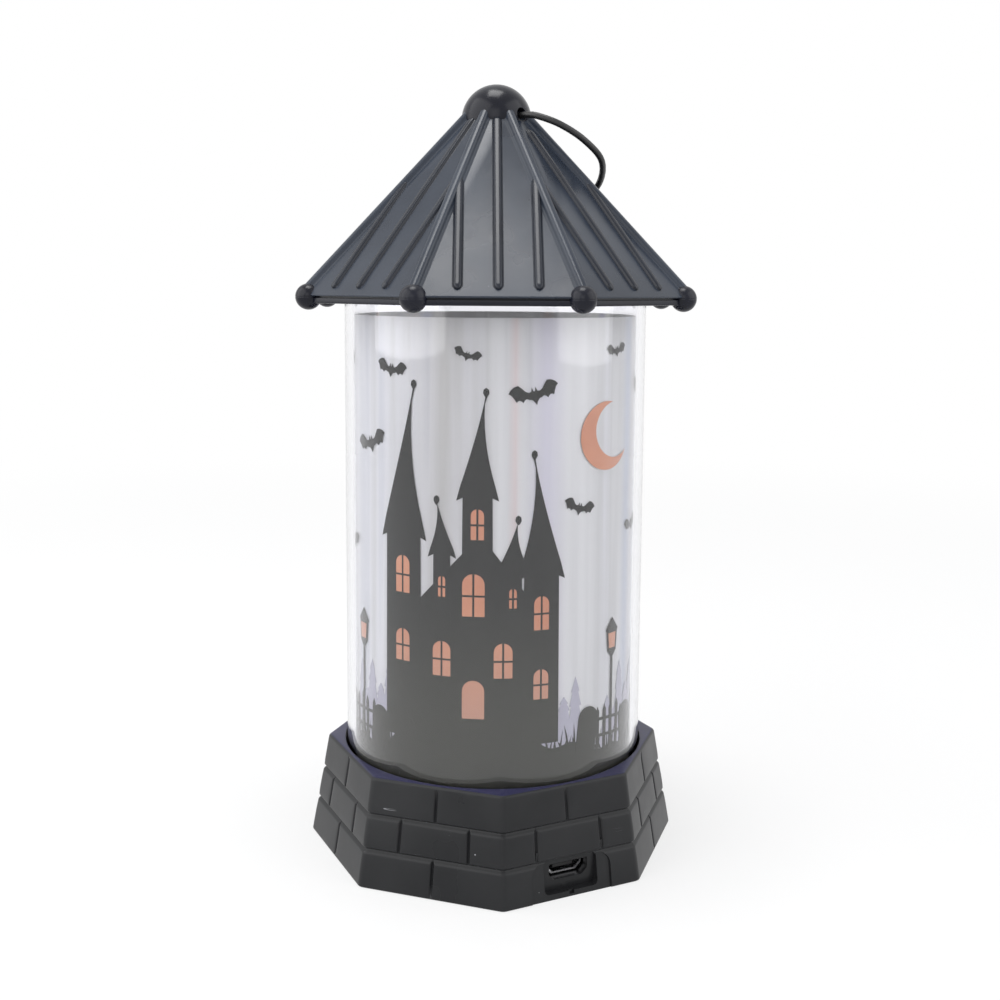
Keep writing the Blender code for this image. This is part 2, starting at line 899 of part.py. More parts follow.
def make_switch(finishes, parent, sliding):
    low = plate_top + clearance
    top = low + switch_height
    spot = place(switch_x, switch_y)
    case = prism(rectangle(switch_length, switch_width), low, top)
    body = add_piece("switch_housing", case, finishes["steel"], parent, spot)
    room_low = low + switch_skin
    room_high = room_low + clearance * 2 + slider_height
    room = rectangle(slider_length + switch_travel + clearance * 2, knob_width + clearance * 2)
    cut(body, "slider_room", prism(room, room_low, room_high), spot)
    mouth = rectangle(knob_length + switch_travel + clearance * 2, knob_width + clearance * 2)
    cut(body, "knob_mouth", prism(mouth, low - overrun, room_low + clearance), spot)

    pin_low = top + clearance
    pin_top = pin_low + terminal_height
    for number in range(terminal_count):
        x = switch_x + terminal_pitch * (number - (terminal_count - 1) / 2)
        pin = prism(rectangle(terminal_size, terminal_size), pin_low, pin_top)
        add_piece("switch_terminal_" + str(number + 1), pin, finishes["nickel"], parent, place(x, switch_y))

    tip = plate_recess + knob_floor_gap
    shoulder = room_low + clearance
    half_knob = knob_length / 2
    half_slider = slider_length / 2
    outline = [
        (-half_knob, tip),
        (half_knob, tip),
        (half_knob, shoulder),
        (half_slider, shoulder),
        (half_slider, shoulder + slider_height),
        (-half_slider, shoulder + slider_height),
        (-half_slider, shoulder),
        (-half_knob, shoulder),
    ]
    upright = Matrix.Rotation(radians(90), 4, "X")
    knob_spot = place(switch_x - switch_travel / 2, switch_y)
    add_piece("switch_knob", prism(outline, -knob_width / 2, knob_width / 2), finishes["white"], sliding,
              knob_spot @ upright)
    return pin_top


# LED board, LEDs and reflector

def led_places():
    angles = [2 * pi * (number + 1 / 2) / led_count for number in range(led_count)]
    return [(led_ring * sin(angle), -led_ring * cos(angle)) for angle in angles]


def make_light(finishes, parent):
    board = add_piece("led_board", cylinder(led_board_radius, led_board_bottom, led_board_top, board_steps),
                      finishes["board"], parent)
    holes = []
    for spot in led_post_places():
        hole = cylinder(led_pin_radius + clearance, led_board_bottom - overrun, led_board_top + overrun)
        holes.append((hole, place(*spot)))
    cut(board, "pin_holes", several(holes))

    low = led_board_top + clearance
    waist = low + led_flange_height
    shoulder = low + led_body_height
    rim = led_radius + led_flange
    profile = [(0, low), (rim, low), (rim, waist), (led_radius, waist)]
    for step in range(4):
        angle = pi / 2 * step / 4
        profile.append((led_radius * cos(angle), shoulder + led_radius * sin(angle)))
    profile.append((0, shoulder + led_radius))
    for number, (x, y) in enumerate(led_places(), 1):
        add_piece("led_" + str(number), turned(profile, round_steps), finishes["lens"], parent, place(x, y))

    inner = reflector_radius - reflector_wall
    under = reflector_top - reflector_wall
    edge = reflector_wall / 2
    profile = [
        (0, under),
        (inner, under),
        (inner, tube_bottom),
        (reflector_radius, tube_bottom),
        (reflector_radius, reflector_top - edge),
        (reflector_radius - edge, reflector_top),
        (0, reflector_top),
    ]
    disc = add_piece("reflector_disc", turned(profile, board_steps), finishes["white"], parent)
    holes = []
    for x, y in led_places():
        hole = cylinder(rim + clearance, under - overrun, reflector_top + overrun)
        holes.append((hole, place(x, y)))
    cut(disc, "led_holes", several(holes))


# Tube and film

def make_tube(finishes, parent):
    inner = tube_radius - tube_wall
    profile = [(inner, tube_bottom), (tube_radius, tube_bottom), (tube_radius, tube_top), (inner, tube_top)]
    add_piece("clear_tube", turned(profile, tube_steps), finishes["clear"], parent)

    inner = film_radius - film_thickness
    gap = film_seam / film_radius
    outline = []
    for radius, order in ((film_radius, 1), (inner, -1)):
        angles = [gap / 2 + (2 * pi - gap) * step / tube_steps for step in range(tube_steps + 1)][::order]
        outline += [(-radius * sin(angle), radius * cos(angle)) for angle in angles]
    sheet = prism(outline, tube_bottom, tube_top - film_top_gap)
    add_piece("printed_film", sheet, finishes["film"], parent)


# Roof and eave plate

def roof_ring(height, drop):
    radius = (apex_height - drop - height) / roof_slope / cos(half_side)
    return octagon(radius, height, roof_turn + side_angle / 2)


def leaning(azimuth, radius, slope):
    # A frame on the roof at the eave: X across, Y up the slope, Z away from the roof.
    lean = Matrix.Rotation(atan(slope), 4, "X")
    return facing(azimuth) @ place(0, -radius, roof_bottom) @ lean


def rib(low, high, offset):
    # A half-round bar that starts with a rounded end and dies into what is above it.
    stations = [(low + rib_width * along, width, height) for along, width, height in rib_foot_shares]
    stations += [(high + rib_width * along, width, height) for along, width, height in rib_top_shares]
    rings = []
    for along, width_share, height_share in stations:
        half = rib_width / 2 * width_share
        rise = (rib_height + rib_root) * height_share
        ring = [(offset - half, along, -rib_root * 3), (offset + half, along, -rib_root * 3)]
        for step in range(rib_arc_steps + 1):
            angle = pi * step / rib_arc_steps
            ring.append((offset + half * cos(angle), along, rise * sin(angle) - rib_root))
        rings.append(ring)
    return skin(rings)


def slope_length(reach):
    # Distance up a face from the eave to a reach from the middle.
    return (eave_apothem - reach) / cos(radians(roof_pitch))


def make_roof_shell(finish, parent):
    outer = [roof_ring(roof_bottom - overrun, 0), roof_ring(finial_height, 0)]
    shell = add_piece("roof_shell", skin(outer), finish, parent, smooth_angle=30)
    join(shell, "finial", ball(finial_radius, fine_steps), place(0, 0, finial_height))
    join(shell, "ridges", several(hip_ridges()))
    join(shell, "side_ribs", several(side_ribs()))
    join(shell, "middle_ribs", several(middle_ribs()))
    join(shell, "balls", several(eave_balls()))
    reach = eave_radius * 2
    cut(shell, "eave", block((-reach, -reach, roof_bottom - ball_radius * 2), (reach, reach, roof_bottom)))
    inner = [roof_ring(roof_bottom - overrun, roof_wall_upright), roof_ring(finial_height, roof_wall_upright)]
    cut(shell, "hollow", skin(inner))
    cut(shell, "finial_hollow", ball(finial_radius - finial_wall, fine_steps - 4), place(0, 0, finial_height))
    bore = cylinder(cord_hole_radius, -finial_radius * 2, finial_radius * 2)
    lying = Matrix.Rotation(radians(90), 4, "X")
    cut(shell, "cord_hole", bore, facing(cord_azimuth) @ place(0, 0, cord_hole_height) @ lying)


def hip_ridges():
    slope = roof_slope * cos(half_side)
    length = (eave_radius - finial_radius * 0.8) / cos(atan(slope))
    ring = []
    for step in range(ridge_steps):
        angle = 2 * pi * (step + 1 / 2) / ridge_steps
        ring.append((ridge_radius * cos(angle), ridge_radius * sin(angle) - ridge_sink))
    bars = []
    for side in range(side_count):
        bar = skin([[(x, along, z) for x, z in ring] for along in (-ridge_radius * 2, length)])
        bars.append((bar, leaning(roof_turn + side_angle * (side + 1 / 2), eave_radius, slope)))
    return bars


def side_ribs():
    high = slope_length(rib_spacing / tan(half_side))
    ribs = []
    for side in range(side_count):
        frame = leaning(roof_turn + side_angle * side, eave_apothem, roof_slope)
        for offset in (-rib_spacing, rib_spacing):
            ribs.append((rib(rib_eave_gap, high, offset), frame))
    return ribs


def middle_ribs():
    # The two ribs under the cord's holes stop short of them.
    ribs = []
    for side in range(side_count):
        azimuth = roof_turn + side_angle * side
        under_hole = abs(sin(radians(azimuth - cord_azimuth))) < sin(half_side)
        top = finial_radius + rib_hole_gap if under_hole else finial_radius - rib_top_sink
        frame = leaning(azimuth, eave_apothem, roof_slope)
        ribs.append((rib(rib_eave_gap, slope_length(top), 0), frame))
    return ribs


def eave_balls():
    corners = octagon(ball_ring, ball_height, roof_turn + side_angle / 2)
    return [(ball(ball_radius, round_steps), place(*corner)) for corner in corners]


def make_eave_plate(finish, parent):
    corner_radius = eave_radius - eave_inset
    turn = roof_turn + side_angle / 2
    slab = [octagon(corner_radius, height, turn) for height in (eave_bottom, roof_bottom)]
    plate = add_piece("eave_plate", skin(slab), finish, parent)
    join(plate, "balls", several(eave_balls()))
    reach = eave_radius * 2
    cut(plate, "parting", block((-reach, -reach, eave_top), (reach, reach, roof_bottom + ball_radius * 2)))
    foot = eave_bottom + eave_thickness / 2
    join(plate, "collar", cylinder(collar_radius, foot, collar_top, tube_steps))
    cut(plate, "tube_seat", cylinder(tube_seat_radius, eave_bottom - overrun, flange_bottom, tube_steps))
    mouth = tube_radius - collar_lip
    cut(plate, "mouth", cylinder(mouth, eave_bottom - overrun, collar_top + overrun, tube_steps))


# Hanging loop

def make_loop(finishes, swinging):
    whole = list(loop_half_route)
    whole += [(-u, v, w) for u, v, w in loop_half_route[-2::-1]]
    add_cord("loop_cord", smooth_curve(whole, cord_point_count), cord_radius, finishes["cord"], swinging,
             swinging.matrix_world)
    for name, side in (("knot_front", 1), ("knot_rear", -1)):
        spot = swinging.matrix_world @ place(side * knot_place)
        add_piece(name, ball(knot_radius, round_steps), finishes["cord"], swinging, spot)


# Wires

def over_board(share):
    return board_top + (ceiling_height - board_top) * share


def pad_place(pad):
    return port_place(pad[0], board_reach()[1] + pad[1], board_top + clearance)


def beside_cell(side, pad, shares):
    # Past one end of the cell, between it and the boss beside it.
    inner = cell_length / 2 + tab_thickness + clearance * 2 + wire_lead
    outer = plate_boss_ring() * cos(half_side) - plate_boss_radius - wire_radius - clearance
    start = cell_place()
    way = pad_place(pad).y - start
    return [Vector((side * (inner + (outer - inner) * across), start + way * along, over_board(up)))
            for across, along, up in shares]


def behind_front(azimuths, shares):
    return [outward(azimuth, plate_boss_ring() * out, over_board(up))
            for azimuth, (out, up) in zip(azimuths, shares)]


def towards(start, pad, shares):
    end = pad_place(pad)
    return [Vector((*start.lerp(end, along).xy, over_board(up))) for along, up in shares]


def make_wires(finishes, parent, terminal_top):
    # Each wire leaves its contact straight, and ends upright over its pad.
    def add_wire(name, start, lead, route, pad, finish):
        end = pad_place(pad)
        line = [start, start + lead * wire_lead, *route, end + up * wire_lead, end]
        points = smooth_curve(line, wire_points_per_span * (len(line) - 1) + 1)
        add_cord(name, points, wire_radius, finishes[finish], parent)

    up = Vector((0, 0, 1))
    right = Vector((1, 0, 0))
    tab_face = right * (cell_length / 2 + clearance * 2 + tab_thickness)
    middle = Vector((0, cell_place(), cell_height))
    red_route = beside_cell(1, battery_red_pad, red_side_shares)
    add_wire("battery_wire_red", middle + tab_face, right, red_route, battery_red_pad, "red")
    black_route = beside_cell(-1, battery_black_pad, black_side_shares)
    black_route += behind_front(black_front_azimuths, black_front_shares)
    add_wire("battery_wire_black", middle - tab_face, -right, black_route, battery_black_pad, "black")

    second = Vector((switch_x, switch_y, terminal_top + clearance))
    first = second - right * terminal_pitch
    first_route = towards(first, switch_first_pad, switch_wire_shares)
    second_route = towards(second, switch_second_pad, switch_wire_shares)
    add_wire("switch_wire_1", first, up, first_route, switch_first_pad, "red")
    add_wire("switch_wire_2", second, up, second_route, switch_second_pad, "black")

    reach = wire_hole_reach()
    for finish, side, pad in (("red", 1, led_red_pad), ("black", -1, led_black_pad)):
        across = side * (wire_radius + clearance)
        start = port_place(across, reach, led_board_bottom - clearance)
        route = [port_place(across, reach, ceiling_height),
                 port_place((pad[0] + across) / 2, reach + led_wire_bend, over_board(1 / 2))]
        add_wire("led_wire_" + finish, start, -up, route, pad, finish)


def main():
    clear_scene()
    finishes = make_materials()
    lantern = add_guide("lantern", (0, 0, 0))
    sliding = add_guide("switch", (switch_x, switch_y, plate_recess))
    swinging = add_guide("loop", (0, 0, hinge_height), cord_azimuth - 90)
    make_base_shell(finishes["base"], lantern)
    make_base_plate(finishes["base"], lantern)
    make_screws(finishes["steel"], lantern)
    make_main_board(finishes, lantern)
    make_socket(finishes, lantern)
    make_cell(finishes, lantern)
    terminal_top = make_switch(finishes, lantern, sliding)
    make_light(finishes, lantern)
    make_wires(finishes, lantern, terminal_top)
    make_tube(finishes, lantern)
    make_eave_plate(finishes["roof"], lantern)
    make_roof_shell(finishes["roof"], lantern)
    make_loop(finishes, swinging)


main()
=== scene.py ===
import bpy
import bmesh
import json
from math import acos, atan, cos, exp, pi, radians, sin, sqrt, tan
from mathutils import Matrix, Vector


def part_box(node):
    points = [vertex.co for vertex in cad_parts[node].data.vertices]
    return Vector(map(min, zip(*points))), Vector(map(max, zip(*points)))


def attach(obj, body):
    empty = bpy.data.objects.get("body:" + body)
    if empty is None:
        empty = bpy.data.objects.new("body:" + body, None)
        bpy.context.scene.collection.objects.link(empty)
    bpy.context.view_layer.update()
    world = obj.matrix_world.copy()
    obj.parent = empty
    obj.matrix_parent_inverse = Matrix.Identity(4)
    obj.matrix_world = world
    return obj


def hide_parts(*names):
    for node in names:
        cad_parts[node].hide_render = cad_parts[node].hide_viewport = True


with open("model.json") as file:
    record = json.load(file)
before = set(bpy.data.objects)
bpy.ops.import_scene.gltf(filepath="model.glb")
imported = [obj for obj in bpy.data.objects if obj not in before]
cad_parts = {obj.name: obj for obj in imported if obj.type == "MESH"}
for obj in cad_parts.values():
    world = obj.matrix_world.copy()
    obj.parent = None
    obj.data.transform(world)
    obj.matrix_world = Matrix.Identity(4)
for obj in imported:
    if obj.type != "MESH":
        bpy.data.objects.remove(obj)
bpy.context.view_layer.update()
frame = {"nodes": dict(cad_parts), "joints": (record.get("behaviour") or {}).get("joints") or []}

scene = bpy.context.scene
mm = 0.001
sides = 8
sideAngle = 360 / sides
halfSide = radians(sideAngle / 2)

# what the looks are fitted to
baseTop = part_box("base_shell")[1].z
tubeLow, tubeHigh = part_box("clear_tube")
filmLow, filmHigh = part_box("printed_film")
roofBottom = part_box("roof_shell")[0].z
swing = next(joint for joint in frame["joints"] if joint["name"] == "loop_swing")


# places and shapes

def outward(azimuth, distance=1.0, height=0.0):  # azimuth 0 is the front, -Y, and it grows towards +X
    angle = radians(azimuth)
    return Vector((distance * sin(angle), -distance * cos(angle), height))


def facing(azimuth):
    return Matrix.Rotation(radians(azimuth), 4, "Z")


def shift(x=0.0, y=0.0, z=0.0):
    return Matrix.Translation((x, y, z))


def skin(rings, closed=False, capped=True):
    made = bmesh.new()
    rows = [[made.verts.new(point) for point in ring] for ring in rings]
    count = len(rows[0])
    pairs = list(zip(rows, rows[1:])) + ([(rows[-1], rows[0])] if closed else [])
    for lower, upper in pairs:
        for index in range(count):
            after = (index + 1) % count
            made.faces.new((lower[index], lower[after], upper[after], upper[index]))
    if capped and not closed:
        made.faces.new(reversed(rows[0]))
        made.faces.new(rows[-1])
    bmesh.ops.recalc_face_normals(made, faces=made.faces)
    return made


def turned(profile, steps):  # a closed outline of (radius, height) turned round Z
    made = bmesh.new()
    rows = []
    for radius, height in profile:
        if radius == 0:
            rows.append([made.verts.new((0, 0, height))] * steps)
        else:
            places = arc(radius, [2 * pi * step / steps for step in range(steps)])
            rows.append([made.verts.new((x, y, height)) for x, y in places])
    for lower, upper in zip(rows, rows[1:] + rows[:1]):
        for index in range(steps):
            after = (index + 1) % steps
            corners = dict.fromkeys((lower[index], lower[after], upper[after], upper[index]))
            if len(corners) > 2:
                made.faces.new(list(corners))
    bmesh.ops.recalc_face_normals(made, faces=made.faces)
    return made


def cylinder(radius, low, high, steps=32):
    return turned([(0, low), (radius, low), (radius, high), (0, high)], steps)


def arc(radius, angles, x=0.0, y=0.0):
    return [(x + radius * cos(angle), y + radius * sin(angle)) for angle in angles]


def bothHalves(half):
    return list(half) + [(-x, z) for x, z in half[::-1]]


def prism(outline, low, high):
    return skin([[(x, y, height) for x, y in outline] for height in (low, high)])


def rounded(outline, radius, steps=6):  # rounds each corner of an outline that turns left
    points = []
    for index, corner in enumerate(outline):
        here = Vector(corner)
        toBefore = (Vector(outline[index - 1]) - here).normalized()
        toAfter = (Vector(outline[(index + 1) % len(outline)]) - here).normalized()
        half = toBefore.angle(toAfter) / 2
        centre = here + (toBefore + toAfter).normalized() * (radius / sin(half))
        start = here + toBefore * (radius / tan(half)) - centre
        for step in range(steps + 1):
            points.append(tuple(centre + Matrix.Rotation((pi - 2 * half) * step / steps, 2) @ start))
    return points


def octagon(radius, height, turn):
    return [outward(turn + sideAngle * side, radius, height) for side in range(sides)]


def meshOf(name, shape, matrix=None):
    mesh = bpy.data.meshes.new(name)
    shape.transform(matrix or Matrix())
    shape.to_mesh(mesh)
    shape.free()
    return mesh


def pour(whole, shape, matrix=None):  # adds one shape to another
    passing = meshOf("passing", shape, matrix)
    whole.from_mesh(passing)
    bpy.data.meshes.remove(passing)


def joined(makers):  # separate shapes in one mesh, each moved by its own matrix
    whole = bmesh.new()
    for shape, matrix in makers:
        pour(whole, shape, matrix)
    return whole


def intoScene(name, data):
    made = bpy.data.objects.new(name, data)
    scene.collection.objects.link(made)
    return made


def evenNormals(piece):  # flat faces stay flat beside narrow rounded edges
    step = piece.modifiers.new("evenNormals", "WEIGHTED_NORMAL")
    step.keep_sharp = True


def addPiece(name, shape, finish, stands, body="lantern", sharp=35, matrix=None):
    mesh = meshOf(name, shape, matrix)
    mesh.shade_smooth()
    mesh.set_sharp_from_angle(angle=radians(sharp))
    mesh.materials.append(finish)
    made = intoScene(name, mesh)
    evenNormals(made)
    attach(made, body)
    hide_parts(*stands)
    return made


def change(piece, operation, shape, matrix=None, sharp=40):  # a Boolean that is applied at once
    tool = intoScene("tool", meshOf("tool", shape, matrix))
    piece.modifiers.clear()
    step = piece.modifiers.new("change", "BOOLEAN")
    step.operation = operation
    step.solver = "EXACT"
    step.object = tool
    bpy.context.view_layer.update()
    solid = piece.evaluated_get(bpy.context.evaluated_depsgraph_get())
    fresh = bpy.data.meshes.new_from_object(solid)
    fresh.shade_smooth()
    fresh.set_sharp_from_angle(angle=radians(sharp))
    piece.modifiers.clear()
    piece.data = fresh
    evenNormals(piece)
    bpy.data.objects.remove(tool)


def smoothCurve(route, count):  # a curve through all the points of the route
    points = [Vector(point) for point in route]
    points.insert(0, points[0] * 2 - points[1])
    points.append(points[-1] * 2 - points[-2])
    spans = len(points) - 3
    line = []
    for step in range(count):
        travel = spans * step / (count - 1)
        span = min(int(travel), spans - 1)
        t = travel - span
        a, b, c, d = points[span:span + 4]
        bend = (2 * a - 5 * b + 4 * c - d) * t * t
        twist = (3 * b - a - 3 * c + d) * t * t * t
        line.append((2 * b + (c - a) * t + bend + twist) / 2)
    return line


# camera

cameraSetup = {
    "place": (-0.01435, -0.24925, 0.1115),
    "tilt": 83.43,
    "turn": -3.54,
    "roll": 0.38,
    "lens": 45.118,
    "sensor": 36,
    "shiftY": -0.0708,
    "near": 0.01,
    "far": 20,
}


def makeCamera():
    data = bpy.data.cameras.new("camera")
    data.sensor_width = cameraSetup["sensor"]
    data.lens = cameraSetup["lens"]
    data.shift_y = cameraSetup["shiftY"]
    data.clip_start = cameraSetup["near"]
    data.clip_end = cameraSetup["far"]
    made = intoScene("camera", data)
    tilt = Matrix.Rotation(radians(cameraSetup["tilt"]), 4, "X")
    aim = facing(cameraSetup["turn"]) @ tilt @ facing(cameraSetup["roll"])
    made.matrix_world = shift(*cameraSetup["place"]) @ aim
    scene.camera = made


# materials

def startMaterial(name):
    made = bpy.data.materials.new(name)
    made.use_nodes = True
    return made, made.node_tree, made.node_tree.nodes["Principled BSDF"]


def feed(tree, node, inputs):  # each input takes the output of another node, a number or a colour
    for name, value in inputs.items():
        socket = node.inputs[name]
        if isinstance(value, bpy.types.NodeSocket):
            tree.links.new(value, socket)
        elif socket.type == "RGBA":
            socket.default_value = (*value, 1)
        else:
            socket.default_value = value


def addNode(tree, kind, inputs=None):
    made = tree.nodes.new("ShaderNode" + kind)
    feed(tree, made, inputs or {})
    return made


def ownPlace(tree):  # the place on the object in its own metres
    return addNode(tree, "TexCoord").outputs["Object"]


def split(tree, vector):
    return addNode(tree, "SeparateXYZ", {"Vector": vector}).outputs


def addMath(tree, operation, first, second):
    made = addNode(tree, "Math", {0: first, 1: second})
    made.operation = operation
    return made.outputs["Value"]


def addRange(tree, value, start, end, low=0.0, high=1.0, smooth=True):
    made = addNode(tree, "MapRange", {"Value": value, "From Min": start, "From Max": end,
                                      "To Min": low, "To Max": high})
    made.interpolation_type = "SMOOTHSTEP" if smooth else "LINEAR"
    return made.outputs["Result"]


def addNoise(tree, scale, detail=3, stretch=None, place=None):
    place = place or ownPlace(tree)
    if stretch:
        place = addNode(tree, "Mapping", {"Vector": place, "Scale": stretch}).outputs["Vector"]
    return addNode(tree, "TexNoise", {"Vector": place, "Scale": scale, "Detail": detail}).outputs["Fac"]


def addRamp(tree, source, stops):
    made = addNode(tree, "ValToRGB", {"Fac": source})
    while len(made.color_ramp.elements) < len(stops):
        made.color_ramp.elements.new(0.5)
    for element, (spot, colour) in zip(made.color_ramp.elements, stops):
        element.position = spot
        element.color = (*colour, 1) if isinstance(colour, tuple) else (colour, colour, colour, 1)
    return made.outputs["Color"]


def shade(tree, source, first, last, edges=(0.3, 0.7)):  # one tone up to the first edge, then another
    return addRamp(tree, source, ((edges[0], first), (edges[1], last)))


def addMix(tree, kind, factor, first, second):  # mixes two colours, each a socket or a plain colour
    made = addNode(tree, "Mix")
    made.data_type = "RGBA"
    made.blend_type = kind
    feed(tree, made, {0: factor, 6: first, 7: second})
    return made.outputs[2]


def times(tree, first, second):
    return addMix(tree, "MULTIPLY", 1.0, first, second)


def addBump(tree, height, strength, depth, under=None):
    made = addNode(tree, "Bump", {"Height": height, "Strength": strength, "Distance": depth})
    if under:
        feed(tree, made, {"Normal": under})
    return made.outputs["Normal"]


def blended(tree, share, first, second, end):  # the second of two shaders for this share, into the end node
    mix = addNode(tree, "MixShader", {"Fac": share, 1: first, 2: second})
    feed(tree, end, {"Surface": mix.outputs["Shader"]})


plasticBasics = {  # for all plastics, unless their own look says otherwise
    "index": 1.48,
    "shine": 0.5,
    "roughEdges": (0.32, 0.68),
    "cloudScale": 90,
    "cloudDetail": 4,
    "grain": 0.10,
    "grainScale": 1500,
    "grainDepth": 0.00001,
    "wave": 0.2,  # the slow unevenness of a moulded face
    "waveDepth": 0.0003,
    "upEdges": (0.80, 0.97),  # how far up a face looks, for the painted reflection on faces that look up
    "speckEdges": (0.04, 0.07),
    "speckPick": (0.82, 0.86),  # only these cells have a speck
    "scratchScale": 260,
    "scratchLine": ((0.4985, 0.0), (0.4995, 1.0), (0.5005, 1.0), (0.5015, 0.0)),
    "zoneScale": 55,
    "zoneEdges": (0.66, 0.70),  # scratches are only in these zones
}


def paintedSkyReflection(tree, look, colour):  # a painted reflection of the surroundings: another tone on high faces that look up
    normal = addNode(tree, "NewGeometry").outputs["Normal"]
    up = shade(tree, split(tree, normal)["Z"], 0.0, 1.0, look["upEdges"])
    high = addMath(tree, "GREATER_THAN", split(tree, ownPlace(tree))["Z"], look["aboveFrom"])
    return addMix(tree, "MIX", times(tree, up, high), colour, look["above"])


def toneWashed(tree, look, colour):  # paler towards the foot of the print
    low = addRange(tree, split(tree, ownPlace(tree))["Z"], look["washedFrom"], look["washedTo"])
    return addMix(tree, "MIX", low, colour, look["washed"])


def dusted(tree, look, colour):  # specks of dust and fine scratches
    cells = addNode(tree, "TexVoronoi", {"Vector": ownPlace(tree), "Scale": look["specks"]})
    dots = shade(tree, cells.outputs["Distance"], 1.0, 0.0, look["speckEdges"])
    some = shade(tree, cells.outputs["Color"], 0.0, 1.0, look["speckPick"])
    thin = addRamp(tree, addNoise(tree, look["scratchScale"], 1, look["scratchRun"]), look["scratchLine"])
    zone = shade(tree, addNoise(tree, look["zoneScale"], 2), 0.0, 1.0, look["zoneEdges"])
    for mask in (times(tree, dots, some), times(tree, thin, zone)):
        colour = addMix(tree, "MIX", mask, colour, look["speckColour"])
    return colour


def makePlastic(name, ownLook):
    look = {**plasticBasics, **ownLook}
    made, tree, shader = startMaterial(name)
    cloud = addNoise(tree, look["cloudScale"], look["cloudDetail"])
    colour = shade(tree, cloud, look["dark"], look["light"])
    # painted reflection on the high faces that look up
    if "above" in look:
        colour = paintedSkyReflection(tree, look, colour)
    if "washed" in look:
        colour = toneWashed(tree, look, colour)
    if "specks" in look:
        colour = dusted(tree, look, colour)
    wave = addBump(tree, cloud, look["wave"], look["waveDepth"])
    grain = addNoise(tree, look["grainScale"], 2)
    feed(tree, shader, {
        "Base Color": colour,
        "Roughness": shade(tree, cloud, *look["roughness"], look["roughEdges"]),
        "IOR": look["index"],
        "Specular IOR Level": look["shine"],
        "Normal": addBump(tree, grain, look["grain"], look["grainDepth"], wave),
    })
    return made


metalBasics = {"scale": 900, "detail": 4, "stretch": (1, 1, 8), "grain": 0.2, "grainDepth": 0.00002}


def makeMetal(name, look):
    made, tree, shader = startMaterial(name)
    brush = addNoise(tree, metalBasics["scale"], metalBasics["detail"], metalBasics["stretch"])
    feed(tree, shader, {
        "Metallic": 1.0,
        "Roughness": shade(tree, brush, *look["roughness"]),
        "Base Color": shade(tree, brush, look["dark"], look["light"]),
        "Normal": addBump(tree, brush, metalBasics["grain"], metalBasics["grainDepth"]),
    })
    return made


clearLook = {
    "colour": (0.95, 0.95, 0.975),
    "index": 1.49,
    "shine": 0.14,
    "hazeScale": 160,
    "hazeStretch": (1, 1, 0.25),
    "hazeEdges": (0.35, 0.75),
    "roughness": (0.008, 0.045),
    "shadow": (0.96, 0.97, 0.98),  # share of the lamps' light that reaches what is inside
}


def makeClear():  # lets the shadow rays through, so that the film behind it is lit
    made, tree, shader = startMaterial("tubeClear")
    haze = addNoise(tree, clearLook["hazeScale"], stretch=clearLook["hazeStretch"])
    feed(tree, shader, {
        "Base Color": clearLook["colour"],
        "Transmission Weight": 1.0,
        "IOR": clearLook["index"],
        "Specular IOR Level": clearLook["shine"],
        "Roughness": shade(tree, haze, *clearLook["roughness"], clearLook["hazeEdges"]),
    })
    through = addNode(tree, "BsdfTransparent", {"Color": clearLook["shadow"]})
    blended(tree, addNode(tree, "LightPath").outputs["Is Shadow Ray"], shader.outputs["BSDF"],
            through.outputs["BSDF"], tree.nodes["Material Output"])
    return made


filmLook = {
    "broad": 1.1,  # streaks round the film, for each radian; they are part pearly sheen of the film and part painted reflection
    "fine": 7.0,
    "fineShare": 0.30,
    "through": 0.32,  # share of the light that passes
    "metallic": 0.22,
    "coat": 0.25,
    "coatRoughness": 0.10,
    "wave": 0.10,
    "waveDepth": 0.0003,
    "paintedReflectionLines": (  # painted reflections, as coloured upright lines round the film: azimuth and half width in degrees, colour
        (-150, 5, (0.80, 0.84, 1.0)),
        (-118, 3, (1.0, 0.84, 0.78)),
        (-81, 5, (0.40, 0.33, 0.72)),
        (-22, 20, (0.84, 0.83, 0.81)),
        (4, 2.2, (1.0, 0.88, 0.87)),
        (16, 9, (0.88, 0.86, 0.95)),
        (58, 5, (0.80, 0.85, 0.98)),
        (79, 3.5, (1.0, 0.76, 0.66)),
        (120, 4, (0.62, 0.56, 0.86)),
        (152, 4, (1.0, 0.87, 0.83)),
    ),
    "roughness": (0.26, 0.38),
    # grey and white bands along the streaks: part pearly sheen of the film, part painted reflections
    "stops": (
        (0.26, (0.70, 0.69, 0.80)),
        (0.36, (0.90, 0.90, 0.90)),
        (0.43, (0.84, 0.84, 0.84)),
        (0.49, (0.74, 0.74, 0.74)),
        (0.54, (0.84, 0.84, 0.86)),
        (0.60, (0.72, 0.73, 0.77)),
        (0.66, (0.90, 0.90, 0.90)),
        (0.76, (0.88, 0.82, 0.78)),
    ),
}


